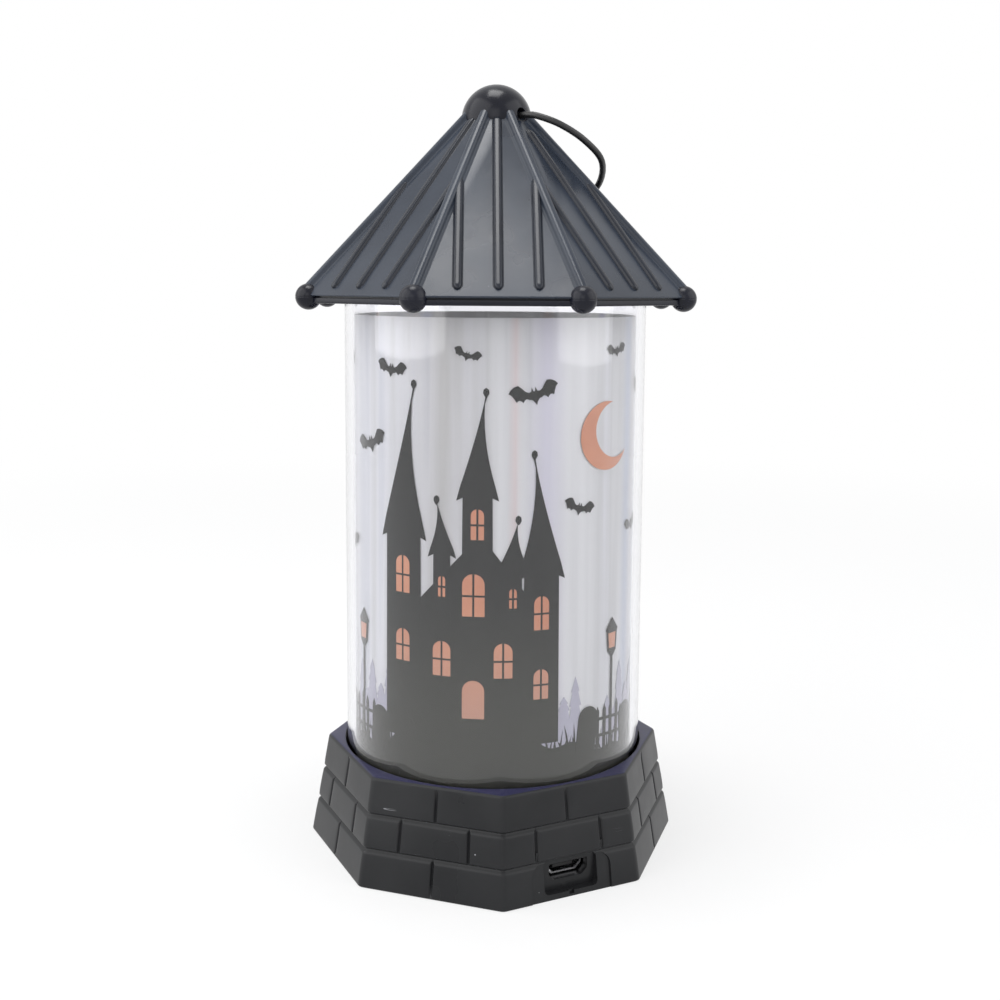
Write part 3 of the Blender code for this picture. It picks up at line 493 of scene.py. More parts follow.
def makeFilm():
    made, tree, shader = startMaterial("filmPearlPaintedReflections")
    place = split(tree, ownPlace(tree))
    angle = addMath(tree, "ARCTAN2", place["X"], addMath(tree, "MULTIPLY", place["Y"], -1))
    stops = [(0.0, 1.0)]
    for azimuth, width, colour in filmLook["paintedReflectionLines"]:
        middle = 0.5 + azimuth / 360
        stops += [(middle - width / 360, 1.0), (middle, colour), (middle + width / 360, 1.0)]
    # painted reflections: coloured upright lines at fixed azimuths round the film
    reflectionTint = addRamp(tree, addRange(tree, angle, -pi, pi, smooth=False), stops)
    spot = addNode(tree, "CombineXYZ", {"X": angle, "Y": place["Z"]}).outputs["Vector"]
    broad = addNoise(tree, filmLook["broad"], 2, place=spot)
    fine = addNoise(tree, filmLook["fine"], 4, place=spot)
    pearlAndReflectionStreaks = addMix(tree, "MIX", filmLook["fineShare"], broad, fine)
    # the streak bands, part pearly film and part painted reflection, times the painted reflection lines
    colour = times(tree, addRamp(tree, pearlAndReflectionStreaks, filmLook["stops"]), reflectionTint)
    feed(tree, shader, {
        "Base Color": colour,
        "Metallic": filmLook["metallic"],
        "Coat Weight": filmLook["coat"],
        "Coat Roughness": filmLook["coatRoughness"],
        "Roughness": shade(tree, pearlAndReflectionStreaks, *filmLook["roughness"]),
        "Normal": addBump(tree, pearlAndReflectionStreaks, filmLook["wave"], filmLook["waveDepth"]),
    })
    through = addNode(tree, "BsdfTranslucent", {"Color": colour})
    blended(tree, filmLook["through"], shader.outputs["BSDF"], through.outputs["BSDF"],
            tree.nodes["Material Output"])
    return made


plasticLooks = {
    "basePlastic": {
        "dark": (0.0130, 0.0135, 0.0148), "light": (0.0210, 0.0215, 0.0230), "roughness": (0.26, 0.38),
        "shine": 0.24,
        "specks": 420, "speckColour": (0.34, 0.34, 0.36), "scratchRun": (0.25, 0.25, 2.2),
        # a bluish painted reflection of the surroundings on the high faces that look up, the deck
        "cloudScale": 60, "wave": 0.35, "above": (0.030, 0.030, 0.080), "aboveFrom": 0.0192,
    },
    "roofPlastic": {
        "dark": (0.015, 0.021, 0.034), "light": (0.027, 0.036, 0.054), "roughness": (0.24, 0.36),
        "shine": 0.40,
        "specks": 380, "speckColour": (0.42, 0.44, 0.48), "scratchRun": (0.3, 0.3, 1.6),
        "cloudScale": 70, "wave": 0.4,
    },
    # the roof's own plastic made darker for the ribs: painted shade for their dark cores
    "ribPlasticPaintedShade": {
        "dark": (0.008, 0.010, 0.017), "light": (0.014, 0.018, 0.028), "roughness": (0.20, 0.30),
        "shine": 0.34, "cloudScale": 70,
    },
    "ballPlastic": {
        "dark": (0.0042, 0.0048, 0.0100), "light": (0.0080, 0.0090, 0.0170), "roughness": (0.22, 0.30),
        "shine": 0.26,
    },
    "chipBlack": {"dark": (0.012, 0.012, 0.013), "light": (0.020, 0.020, 0.021), "roughness": (0.5, 0.62)},
    "whitePlastic": {"dark": (0.74, 0.74, 0.71), "light": (0.84, 0.84, 0.82), "roughness": (0.32, 0.46)},
    "boardGreen": {"dark": (0.012, 0.090, 0.035), "light": (0.022, 0.140, 0.060), "roughness": (0.28, 0.42)},
    "cellWrap": {"dark": (0.030, 0.130, 0.300), "light": (0.050, 0.190, 0.400), "roughness": (0.22, 0.34)},
    "wireRed": {"dark": (0.38, 0.012, 0.012), "light": (0.52, 0.022, 0.020), "roughness": (0.36, 0.5)},
    "wireBlack": {"dark": (0.010, 0.010, 0.011), "light": (0.018, 0.018, 0.019), "roughness": (0.36, 0.5)},
    "ledLens": {"dark": (0.80, 0.74, 0.58), "light": (0.90, 0.86, 0.72), "roughness": (0.06, 0.12)},
    "inkBlack": {
        "dark": (0.0030, 0.0030, 0.0028), "light": (0.0060, 0.0060, 0.0055), "roughness": (0.34, 0.46),
        "shine": 0.08, "washed": (0.036, 0.036, 0.029), "washedFrom": 0.062, "washedTo": 0.030,
    },
    "inkGrey": {"dark": (0.36, 0.35, 0.42), "light": (0.42, 0.41, 0.48), "roughness": (0.34, 0.46)},
    "inkOrange": {
        "dark": (0.52, 0.20, 0.105), "light": (0.62, 0.27, 0.150), "roughness": (0.34, 0.46),
        "washed": (0.50, 0.26, 0.18), "washedFrom": 0.055, "washedTo": 0.030,
    },
    "cordBlack": {
        "dark": (0.006, 0.006, 0.007), "light": (0.013, 0.013, 0.014), "roughness": (0.30, 0.44),
        "wave": 0.05,
    },
}

metalLooks = {
    "socketSteel": {"dark": (0.50, 0.50, 0.52), "light": (0.66, 0.66, 0.68), "roughness": (0.22, 0.36)},
    "screwSteel": {"dark": (0.48, 0.48, 0.50), "light": (0.62, 0.62, 0.64), "roughness": (0.24, 0.40)},
    "contactNickel": {"dark": (0.56, 0.54, 0.50), "light": (0.68, 0.66, 0.61), "roughness": (0.20, 0.34)},
}

nodeFinishes = {  # the CAD nodes that stay as they are
    "base_plate": "basePlastic", "main_board": "boardGreen", "led_board": "boardGreen",
    "control_chip": "chipBlack", "usb_insulator": "chipBlack", "usb_shell": "socketSteel",
    "battery_cell": "cellWrap", "cell_tab_plus": "contactNickel", "cell_tab_minus": "contactNickel",
    "switch_housing": "socketSteel", "switch_knob": "whitePlastic", "reflector_disc": "whitePlastic",
}


def makeFinishes():
    made = {name: makePlastic(name, look) for name, look in plasticLooks.items()}
    made.update({name: makeMetal(name, look) for name, look in metalLooks.items()})
    made["tubeClear"] = makeClear()
    made["filmPearlPaintedReflections"] = makeFilm()
    return made


def finishOf(node):
    if node in nodeFinishes:
        return nodeFinishes[node]
    if "screw" in node:
        return "screwSteel"
    if "terminal" in node:
        return "contactNickel"
    if "wire" in node:
        return "wireRed" if node.endswith(("red", "_1")) else "wireBlack"
    if node.startswith("led_"):
        return "ledLens"
    return "basePlastic"


def dressNodes(finishes):
    for name, node in frame["nodes"].items():
        node.data.materials.clear()
        node.data.materials.append(finishes[finishOf(name)])


# hanging loop

loopShape = {
    "cordRadius": 0.00065,
    "length": 0.0856,
    "points": 241,
    "around": 24,
    "twist": 0.0042,  # one turn of the strands
    "strands": 6,
    "strandDepth": 0.05,
    "finialExit": 0.00683,
    "sharp": 80,
}
# Its route from one end to its tip: along the holes, sideways and up. The other half mirrors it.
loopHalfRoute = (
    (0.0052, 0.0, 0.0),
    (0.0083, 0.0, 0.0),
    (0.0106, 0.0006, -0.0004),
    (0.0140, 0.0030, -0.0020),
    (0.0160, 0.0075, -0.0046),
    (0.0158, 0.0130, -0.0079),
    (0.0112, 0.0184, -0.0113),
    (0.0060, 0.0206, -0.0141),
    (0.0, 0.0213, -0.0151),
)


def loopPlace():
    along = Vector(swing["axis"]).normalized()
    across = Vector((-along.y, along.x, 0))
    up = Vector((0, 0, 1))
    spot = Matrix((along, across, up)).transposed().to_4x4()
    spot.translation = swing["pos_m"]
    return spot


def strandTube(line, radius, around):  # a tube with shallow twisted strands
    twist, strands, depth = loopShape["twist"], loopShape["strands"], loopShape["strandDepth"]
    rings = []
    travelled = 0.0
    side = None
    for index, point in enumerate(line):
        before = line[max(index - 1, 0)]
        after = line[min(index + 1, len(line) - 1)]
        heading = (after - before).normalized()
        side = side or heading.orthogonal().normalized()
        side = (side - heading * side.dot(heading)).normalized()
        other = heading.cross(side)
        if index:
            travelled += (point - before).length
        ring = []
        for step in range(around):
            angle = 2 * pi * step / around
            lay = 1 - depth * abs(sin(strands / 2 * (angle - 2 * pi * travelled / twist))) ** 3
            ring.append(point + (side * cos(angle) + other * sin(angle)) * radius * lay)
        rings.append(ring)
    return skin(rings)


knotShape = {
    "coil": 0.00078,
    "strand": 0.00048,
    "turns": 2.6,
    "start": 0.00245,
    "length": 0.0019,
    "points": 61,
    "around": 16,
}


def makeKnots(finishes):
    spot = loopPlace()
    made = []
    for side, name, node in ((1, "knotFront", "knot_front"), (-1, "knotRear", "knot_rear")):
        line = []
        for step in range(knotShape["points"]):
            share = step / (knotShape["points"] - 1)
            angle = 2 * pi * knotShape["turns"] * share
            along = side * (knotShape["start"] + knotShape["length"] * share)
            coil = arc(knotShape["coil"], [angle])[0]
            line.append(spot @ Vector((along, *coil)))
        tube = strandTube(line, knotShape["strand"], knotShape["around"])
        made.append(addPiece(name, tube, finishes["cordBlack"], [node], "loop",
                             loopShape["sharp"]))
    return made


def makeLoop(finishes, knots):
    spot = loopPlace()
    whole = list(loopHalfRoute)
    whole += [(-u, v, w) for u, v, w in loopHalfRoute[-2::-1]]
    line = [spot @ point for point in smoothCurve(whole, loopShape["points"])]
    tube = strandTube(line, loopShape["cordRadius"], loopShape["around"])
    cordPiece = addPiece("loopCord", tube, finishes["cordBlack"], ["loop_cord"], "loop",
                         loopShape["sharp"])
    measured = sum((b - a).length for a, b in zip(line, line[1:]))
    print("loop cord", round(measured / mm, 2), "mm long")


# brick base

baseShape = {
    "bottomRadius": 0.0371975,  # across the corners, before they are rounded
    "topRadius": 0.0335975,
    "wall": 0.0018,
    "cornerRound": 0.0018,
    "cornerSteps": 6,
    "footRound": 0.00035,
    "deckRound": 0.0006,
    "courseShares": (0.347, 0.663),
    "jointShares": ((0.5,), (0.25, 0.75), (0.5,)),
    "jointMarks": (0.25, 0.5, 0.75),  # every place where a row may have a joint
    "faceMarks": (0.10, 0.15, 0.375, 0.625, 0.85, 0.90),  # more points of a ring, between the joints
    "rowMarks": (0.05, 0.12, 0.2, 0.26, 0.44, 0.51, 0.58, 0.76, 0.84, 0.92),  # more rings of the wall
    "leastCurve": 0.0002,
    "grooveWidth": 0.0009,
    "grooveDepth": 0.00045,
    "lipShare": 1.7,  # the upper edge of a brick is this much softer
    "pillow": 0.00010,
    "pillowWidth": 0.0010,
    "seatRadius": 0.0300,
    "seatRound": 0.0003,
    "seatFloor": 0.0162,
    "ceiling": 0.0144,
}
grooveSteps = [step * mm for step in (-1.3, -0.9, -0.7, -0.55, -0.42, -0.32, -0.22, -0.11)]
grooveSteps += [0] + [-step for step in grooveSteps[::-1]]


def baseRadius(height):
    share = height / baseTop
    return baseShape["bottomRadius"] * (1 - share) + baseShape["topRadius"] * share


def brickDepth(side, across, height):  # how far the wall lies back, in a groove or near one
    levels = [share * baseTop for share in baseShape["courseShares"]]
    course = sum(height > level for level in levels)
    joints = () if (side, course) == (0, 0) else baseShape["jointShares"][course]
    width = 2 * baseRadius(height) * sin(halfSide)
    lip = baseShape["lipShare"]
    gaps = [(level - height) / lip if height < level else height - level for level in levels]
    gaps += [abs(across - (share - 0.5) * width) for share in joints]
    gap = min(gaps)
    half = baseShape["grooveWidth"] / 2
    groove = baseShape["grooveDepth"] * (1 + cos(pi * gap / half)) / 2 if gap < half else 0
    return groove + baseShape["pillow"] * exp(-(gap / baseShape["pillowWidth"]) ** 2)


def baseRing(height, inset, bricks=True):
    radius = baseRadius(height) - inset / cos(halfSide)
    width = 2 * radius * sin(halfSide)
    curve = max(baseShape["cornerRound"] - inset, baseShape["leastCurve"])
    arcCentre = radius - curve / cos(halfSide)
    straight = width / 2 - curve * tan(halfSide)
    marks = [(share - 0.5) * width + step for share in baseShape["jointMarks"] for step in grooveSteps]
    marks += [(share - 0.5) * width for share in baseShape["faceMarks"]]
    ring = []
    for side in range(sides):
        for step in range(baseShape["cornerSteps"] + 1):
            azimuth = sideAngle * (side + step / baseShape["cornerSteps"] - 0.5)
            deep = brickDepth(side, width / 2, height) if bricks else 0
            ring.append(outward(sideAngle * side, arcCentre) + outward(azimuth, curve - deep, height))
        face = sideAngle * (side + 0.5)
        for across in sorted(mark for mark in marks if abs(mark) < straight):
            deep = brickDepth(side, across, height) if bricks else 0
            ring.append(outward(face, radius * cos(halfSide) - deep, height) + outward(face + 90, across))
    return ring


def circleRing(radius, height):  # a circle with the same turns as the rings of the wall
    return [Vector((point.x, point.y, 0)).normalized() * radius + Vector((0, 0, height))
            for point in baseRing(baseTop, baseShape["deckRound"], False)]


def quarter(steps):  # sines and cosines along a quarter turn
    angles = [radians(90 * step / steps) for step in range(steps + 1)]
    return [(sin(angle), cos(angle)) for angle in angles]


def baseRings():  # up inside the wall, round its foot, up the bricks, over the deck and down into the seat
    wall, foot, deck = baseShape["wall"], baseShape["footRound"], baseShape["deckRound"]
    seat, curve = baseShape["seatRadius"], baseShape["seatRound"]
    rings = [baseRing(baseShape["ceiling"], wall, False), baseRing(foot, wall, False)]
    rings.append(baseRing(0, wall - foot / 2, False))
    rings += [baseRing(foot * (1 - c), foot * (1 - s), False) for s, c in quarter(4)]
    heights = [share * baseTop + step for share in baseShape["courseShares"] for step in grooveSteps]
    heights += [share * baseTop for share in baseShape["rowMarks"]]
    rings += [baseRing(height, 0) for height in sorted(heights)]
    rings += [baseRing(baseTop - deck * (1 - s), deck * (1 - c), False) for s, c in quarter(5)]
    rings += [circleRing(seat + curve * (1 - s), baseTop - curve * (1 - c)) for s, c in quarter(4)]
    rings.append(circleRing(seat, baseShape["seatFloor"]))
    return rings


# charging port of the base

portShape = {
    "azimuth": 22.5,
    "height": 0.0045,
    "pocketWidth": 0.0111,
    "pocketLow": 0.0010,
    "pocketHigh": 0.0070,
    "pocketCorner": 0.0009,
    "pocketReach": 0.032296,
    "padHalf": 0.00695,
    "padReach": 0.030696,
    "padLow": 0.0004,
    "padHigh": 0.0090,
    "archWidth": 0.0166,
    "archDepth": 0.0004,
    "archCorner": 0.0026,
    "notchWidth": 0.0010,
    "notchHeight": 0.0006,
    "notchDepth": 0.0008,
    "windowWidth": 0.00745,
    "windowHeight": 0.0025,
    "windowGap": 0.0003,
    "windowCut": 0.0011,
    "windowCorner": 0.00025,
    "notchLap": 0.0001,
    "notchExtra": 0.0002,
    "overrun": 0.001,  # how far the cutting shapes reach past the plastic
}


def rectangle(halfWidth, low, high):
    return [(-halfWidth, low), (halfWidth, low), (halfWidth, high), (-halfWidth, high)]


def windowOutline():
    half = portShape["windowWidth"] / 2 + portShape["windowGap"]
    rise = portShape["windowHeight"] / 2 + portShape["windowGap"]
    low, high, lean = portShape["height"] - rise, portShape["height"] + rise, portShape["windowCut"]
    return [(lean - half, low), (half - lean, low), (half, low + lean), (half, high), (-half, high),
            (-half, low + lean)]


def cutPort(base):
    turn, overrun = facing(portShape["azimuth"]), portShape["overrun"]
    upright = turn @ Matrix.Rotation(radians(90), 4, "X")
    outer = baseRadius(0) * cos(halfSide)
    slope = (baseRadius(0) - baseRadius(baseTop)) / baseTop * cos(halfSide)
    reachAt = lambda height: outer - slope * height
    padOuter = (reachAt(portShape["padLow"]) - baseShape["wall"] + reachAt(portShape["padHigh"])) / 2
    pad = prism(rectangle(portShape["padHalf"], portShape["padLow"], portShape["padHigh"]),
                portShape["padReach"], padOuter)
    change(base, "UNION", pad, upright)

    top = baseShape["courseShares"][0] * baseTop
    corner = portShape["archCorner"]
    arch = prism(rounded(rectangle(portShape["archWidth"] / 2, -2 * corner, top), corner, 8),
                 -portShape["archDepth"], 2 * overrun)
    lean = Matrix.Rotation(-atan(slope), 4, "X") @ Matrix.Rotation(radians(90), 4, "X")
    change(base, "DIFFERENCE", arch, turn @ shift(0, -outer, 0) @ lean)

    low = portShape["pocketLow"]
    pocket = prism(rounded(rectangle(portShape["pocketWidth"] / 2, low, portShape["pocketHigh"]),
                           portShape["pocketCorner"]), portShape["pocketReach"], outer + overrun)
    change(base, "DIFFERENCE", pocket, upright)
    notchFoot, notchTop = low - portShape["notchHeight"], low + portShape["notchLap"]
    notch = prism(rectangle(portShape["notchWidth"] / 2, notchFoot, notchTop),
                  outer - portShape["notchDepth"] - portShape["notchExtra"], outer + overrun)
    change(base, "DIFFERENCE", notch, upright)
    window = prism(rounded(windowOutline(), portShape["windowCorner"], 3),
                   portShape["padReach"] - overrun, outer)
    change(base, "DIFFERENCE", window, upright)


def makeBase(finishes):
    base = addPiece("brickBase", skin(baseRings()), finishes["basePlastic"], ["base_shell"],
                    sharp=40)
    cutPort(base)
    print("brick base with", len(base.data.polygons), "faces")


# roof

roofShape = {
    "turn": -2.5,  # azimuth of the front face
    "pitch": 48.43,
    "eaveReach": 0.036405,
    "wall": 0.0016,
    "topReach": 0.0059,
    "edgeRound": 0.00022,
    "apex": 0.1502967,  # height at which the slopes would meet
}
finialShape = {
    "radius": 0.00683,
    "wall": 0.0015,
    "height": 0.1432967,
    "holeRadius": 0.00125,
    "holeHeight": 0.1439967,
    "holeAzimuth": 42.5,
    "steps": 36,
    "around": 72,
}
ridgeShape = {"lowest": 0.0001, "topReach": 0.0052, "stretches": 12}
ribShape = {
    "half": 0.00072,
    "height": 0.00062,
    "spacing": 0.0070,
    "eaveGap": 0.0019,
    "round": 0.0010,
    "head": (0.01, 0.05, 0.13, 0.27, 0.45, 0.7, 1.0),  # shares of the round lower end
    "headBend": 0.7,
    "tail": ((0.0014, 1, 1), (0.0007, 0.92, 0.8), (0, 0.7, 0.3)),  # from the top, shares of width and height
    "finialLap": 0.0005,
    "holeGap": 0.0015,
}
ballShape = {
    "radius": 0.00245,
    "ring": 0.037904,
    "height": 0.1091,
    "seam": 0.014,  # share of the radius
    "seamSpread": 1.6,  # degrees
    "seamAngles": (-3.5, -2, -1, 1, 2, 3.5),
    "step": 7.5,
    "around": 48,
}
# shares of half the width and of the height, from the foot to the middle of the back
ribHalf = ((-1.42, -0.5), (-1.40, -0.02), (-1.20, 0.06), (-1.05, 0.22), (-0.98, 0.50), (-0.84, 0.78),
           (-0.55, 0.95), (-0.2, 1.0))
# in mm
ridgeHalf = ((-1.50, -0.75), (-1.40, -0.40), (-1.14, -0.28), (-0.98, -0.04), (-0.90, 0.30), (-0.76, 0.58),
             (-0.50, 0.77), (-0.18, 0.84))

slopeRate = tan(radians(roofShape["pitch"]))
eaveReach = roofShape["eaveReach"]


def leaning(azimuth, reach, slope):  # X across, Y up the slope, Z away from the roof, from the eave
    return facing(azimuth) @ shift(0, -reach, roofBottom) @ Matrix.Rotation(atan(slope), 4, "X")


def slopeLength(reach):
    return (eaveReach - reach) / cos(radians(roofShape["pitch"]))


def roofOctagon(reach, height):
    return octagon(reach / cos(halfSide), height, roofShape["turn"] + sideAngle / 2)


def roofRings():
    upright = roofShape["wall"] / cos(radians(roofShape["pitch"]))
    top, apex = roofShape["topReach"], roofShape["apex"]
    inner = top - roofShape["wall"]
    outline = [
        ((apex - upright - roofBottom) / slopeRate, roofBottom),
        (eaveReach, roofBottom),
        (top, apex - top * slopeRate),
        (inner, apex - upright - inner * slopeRate),
    ]
    return [roofOctagon(reach, height) for reach, height in rounded(outline, roofShape["edgeRound"], 4)]


def ribStations(low, high):  # place along the slope, share of the width, share of the height
    stations = []
    for share in ribShape["head"]:
        size = sqrt(1 - (1 - share) ** 2)
        stations.append((low + ribShape["round"] * share, size, size ** ribShape["headBend"]))
    return stations + [(high - before, wide, tall) for before, wide, tall in ribShape["tail"]]


def rib(low, high, offset):
    rings = []
    for along, wide, tall in ribStations(low, high):
        ring = []
        for x, z in bothHalves(ribHalf):
            rise = z * tall if z > 0 else z
            ring.append((offset + x * wide * ribShape["half"], along, rise * ribShape["height"]))
        rings.append(ring)
    return skin(rings)


def roofRibs():
    ribs = []
    spacing = ribShape["spacing"]
    for side in range(sides):
        azimuth = roofShape["turn"] + sideAngle * side
        place = leaning(azimuth, eaveReach, slopeRate)
        for offset in (-spacing, spacing):
            ribs.append((rib(ribShape["eaveGap"], slopeLength(spacing / tan(halfSide)), offset), place))
        underHole = abs(sin(radians(azimuth - finialShape["holeAzimuth"]))) < sin(halfSide)
        top = finialShape["radius"] + (ribShape["holeGap"] if underHole else -ribShape["finialLap"])
        ribs.append((rib(ribShape["eaveGap"], slopeLength(top), 0), place))
    return joined(ribs)


def roofHips():
    slope = slopeRate * cos(halfSide)
    cornerRadius = eaveReach / cos(halfSide)
    length = (cornerRadius - ridgeShape["topReach"]) / cos(atan(slope))
    lowest, stretches = ridgeShape["lowest"], ridgeShape["stretches"]
    bars = []
    for side in range(sides):
        rings = []
        for step in range(stretches + 1):
            along = lowest + (length - lowest) * step / stretches
            rings.append([(x * mm, along, z * mm) for x, z in bothHalves(ridgeHalf)])
        bars.append((skin(rings), leaning(roofShape["turn"] + sideAngle * (side + 0.5), cornerRadius, slope)))
    return joined(bars)


def seamBall():  # a ball with a fine line where the mould parts
    radius, step = ballShape["radius"], ballShape["step"]
    angles = [step * count - 90 for count in range(1, int(180 / step))]
    profile = [(0, -radius)]
    for angle in sorted(angles + list(ballShape["seamAngles"])):
        size = radius * (1 - ballShape["seam"] * exp(-(angle / ballShape["seamSpread"]) ** 2))
        profile += arc(size, [radians(angle)])
    return turned(profile + [(0, radius)], ballShape["around"])


def finialShell():
    outer, inner = finialShape["radius"], finialShape["radius"] - finialShape["wall"]
    steps = finialShape["steps"]
    angles = [radians(180 * step / steps - 90) for step in range(1, steps)]
    profile = [(0, -outer)] + arc(outer, angles) + [(0, outer), (0, inner)] + arc(inner, angles[::-1])
    return turned(profile + [(0, -inner)], finialShape["around"])


def makeRoof(finishes):
    corners = [outward(roofShape["turn"] + sideAngle * (side + 0.5), ballShape["ring"], ballShape["height"])
               for side in range(sides)]
    balls = joined([(seamBall(), shift(*corner)) for corner in corners])
    lifted = shift(z=finialShape["height"])
    pieces = {}
    for name, shape, finish, stands, sharp, matrix in (
        ("roofSkin", skin(roofRings(), closed=True), "roofPlastic", ["roof_shell"], 30, None),
        ("roofHips", roofHips(), "roofPlastic", ["roof_shell"], 60, None),
        ("roofRibs", roofRibs(), "ribPlasticPaintedShade", ["roof_shell"], 60, None),
        ("eaveBalls", balls, "ballPlastic", ["roof_shell", "eave_plate"], 35, None),
        ("finial", finialShell(), "ballPlastic", ["roof_shell"], 35, lifted),
    ):
        pieces[name] = addPiece(name, shape, finishes[finish], stands, sharp=sharp,
                                matrix=matrix)
    bore = cylinder(finialShape["holeRadius"], -2 * finialShape["radius"], 2 * finialShape["radius"])
    change(pieces["finial"], "DIFFERENCE", bore, facing(finialShape["holeAzimuth"])
           @ shift(z=finialShape["holeHeight"]) @ Matrix.Rotation(radians(90), 4, "X"))
    print("roof in", len(pieces), "pieces")


# eave ring under the roof

eaveShape = {
    "reach": 0.035667,
    "bottom": 0.1079,
    "thick": 0.00105,
    "stepReach": 0.0351,
    "seatRadius": 0.0300,
    "seatTop": 0.11065,
    "collarRadius": 0.0315,
    "collarTop": 0.11185,
    "mouthRadius": 0.0270,
    "soft": 0.0002,
    "roofGap": 0.00001,
    "perSide": 32,
}


def eaveOutline():  # (radius, height, 1 for a ring with eight sides or 0 for a round one)
    low, top = eaveShape["bottom"], eaveShape["bottom"] + eaveShape["thick"]
    reach, step = eaveShape["reach"], eaveShape["stepReach"]
    seat, collar, mouth = eaveShape["seatRadius"], eaveShape["collarRadius"], eaveShape["mouthRadius"]
    seatTop, collarTop = eaveShape["seatTop"], eaveShape["collarTop"]
    under = roofBottom - eaveShape["roofGap"]
    soft = eaveShape["soft"]
    cut = soft * 0.3
    return [
        (seat + soft, low, 0), (reach - soft, low, 1), (reach - cut, low + cut, 1), (reach, low + soft, 1),
        (reach, top - soft, 1), (reach - cut, top - cut, 1), (reach - soft, top, 1), (step, top, 1),
        (step, under, 1), (collar, under, 0), (collar, collarTop, 0), (mouth, collarTop, 0),
        (mouth, seatTop, 0), (seat, seatTop, 0), (seat, low + soft, 0),
    ]


def makeEave(finishes):
    rings = []
    for radius, height, straight in eaveOutline():
        ring = []
        for side in range(sides):
            for step in range(eaveShape["perSide"]):
                azimuth = sideAngle * (step / eaveShape["perSide"] - 0.5)
                reach = radius / cos(radians(azimuth)) if straight else radius
                ring.append(outward(roofShape["turn"] + sideAngle * side + azimuth, reach, height))
        rings.append(ring)
    addPiece("eaveRing", skin(rings, closed=True), finishes["ballPlastic"], ["eave_plate"])
    print("eave ring ready")


# clear tube and pearly film

tubeShape = {"wall": 0.0016, "rim": 0.00035, "steps": 224}
filmShape = {"thick": 0.0003, "seam": 0.00004, "steps": 256}
filmRadius = filmHigh.x


def makeTube(finishes):
    outer = tubeHigh.x
    outline = [(outer - tubeShape["wall"], tubeLow.z), (outer, tubeLow.z), (outer, tubeHigh.z),
               (outer - tubeShape["wall"], tubeHigh.z)]
    addPiece("clearTube", turned(rounded(outline, tubeShape["rim"], 4), tubeShape["steps"]),
             finishes["tubeClear"], ["clear_tube"], sharp=40)
    gap, steps = filmShape["seam"] / filmRadius, filmShape["steps"]
    sheet = []
    for radius, order in ((filmRadius, 1), (filmRadius - filmShape["thick"], -1)):
        angles = [gap / 2 + (2 * pi - gap) * step / steps for step in range(steps + 1)]
        sheet += [(-radius * sin(angle), radius * cos(angle)) for angle in angles[::order]]
    addPiece("pearlFilm", prism(sheet, filmLow.z, filmHigh.z), finishes["filmPearlPaintedReflections"],
             ["printed_film"])
    print("tube and film ready")


# night scene printed on the film

printShape = {
    "lift": 0.00002,  # between the film and the ink
    "thick": 0.00004,
    "bend": 0.0012,  # length of the flat strips that follow the curve
    "grow": 1.12,
    "houseAcross": -5.0,
    "moon": (21.0, 84.0, 6.4),  # across, height, radius
    "moonInner": 0.82,  # share of its radius
    "moonShift": 0.40,
    "moonTilt": 24,
    "inkGap": 0.00003,
    "layers": 12,  # shapes of one colour lie in so many thin layers
    "layerStep": 0.000003,
    "ground": 24.0,
    "hill": 9.5,
    "hillWidth": 15,
    "groundWaves": ((0.9, 8, 0.0), (0.7, 5, pi / 2)),  # height, count, turn
    "ridge": 31,
    "ridgeFoot": 20,
    "ridgeWaves": ((3.4, 3, 0.6), (1.8, 8, 0.0)),
    "firs": 26,
    "blades": 150,
}
halfPrint = pi * filmRadius / 2 / mm  # mm, half of the width of one of the two pictures
hall = ((-10, -4), (9, -4), (9.3, 17), (11.4, 16.2), (11.0, 17.6), (0.9, 31), (-11.6, 17.4), (-12, 16),
        (-10.2, 16.8))
towers = (
    # across, foot, width, top of the wall, height of the hat, lean of its tip
    (-12.6, -4, 7.2, 30, 25, 2.2),
    (10.8, -4, 6.2, 24, 20, -1.4),
    (0.4, 20, 5.0, 37, 17, 1.3),
    (-5.4, 14, 3.0, 27.5, 9, -0.9),
    (6.1, 10, 3.0, 25.5, 8, 0.8),
)
batTop = ((0, 0.15), (0.04, 0.19), (0.075, 0.33), (0.12, 0.17), (0.22, 0.15), (0.33, 0.21), (0.45, 0.36),
          (0.58, 0.50), (0.74, 0.48), (0.90, 0.38), (1.0, 0.25))
batLow = ((1.0, 0.25), (0.76, -0.13), (0.50, -0.19), (0.25, -0.13), (0.0, -0.38))
bats = (
    # across, height, half of the wingspan, tilt in degrees
    (5.5, 92, 4.6, 12), (14.5, 71, 3.4, -14), (-21.8, 96, 3.6, -8), (-27.5, 82, 4.4, 16), (30.5, 66, 3.2, 10),
    (34.5, 92, 3.8, -12), (-36, 62, 3.4, 8), (-6.5, 99, 2.6, -16), (23.5, 99.5, 2.8, 6), (-38.5, 97, 3.2, 12),
)
graves = (
    # across, width, height, lean in degrees
    (16.5, 4.6, 7.4, -6), (29.4, 5.2, 8.6, 5), (37.5, 4.2, 6.6, -8), (-24.2, 4.8, 7.8, 7),
    (-39.5, 4.6, 7.0, -5),
)
windows = (
    # across, height, width, how tall
    (-12.6, 20.5, 2.7, 6.2), (-12.6, 9.0, 2.7, 5.4), (0.4, 30.2, 2.1, 5.0), (10.8, 15.2, 2.5, 5.6),
    (-5.4, 7.4, 3.0, 5.8), (4.6, 7.4, 3.0, 5.8), (10.8, 3.6, 2.5, 5.0), (-0.2, 17.6, 3.6, 7.0),
    (-5.4, 20.6, 1.2, 3.4), (6.1, 19.0, 1.2, 3.2),
)
hatShape = {
    "overhang": 0.9,
    "wallTaper": 0.95,
    "drop": 0.5,
    "steps": 9,
    "hollow": 1.7,
    "knob": ((0.16, -0.8), (0.5, -0.2), (0.42, 0.4)),
    "knobTop": 0.7,
}
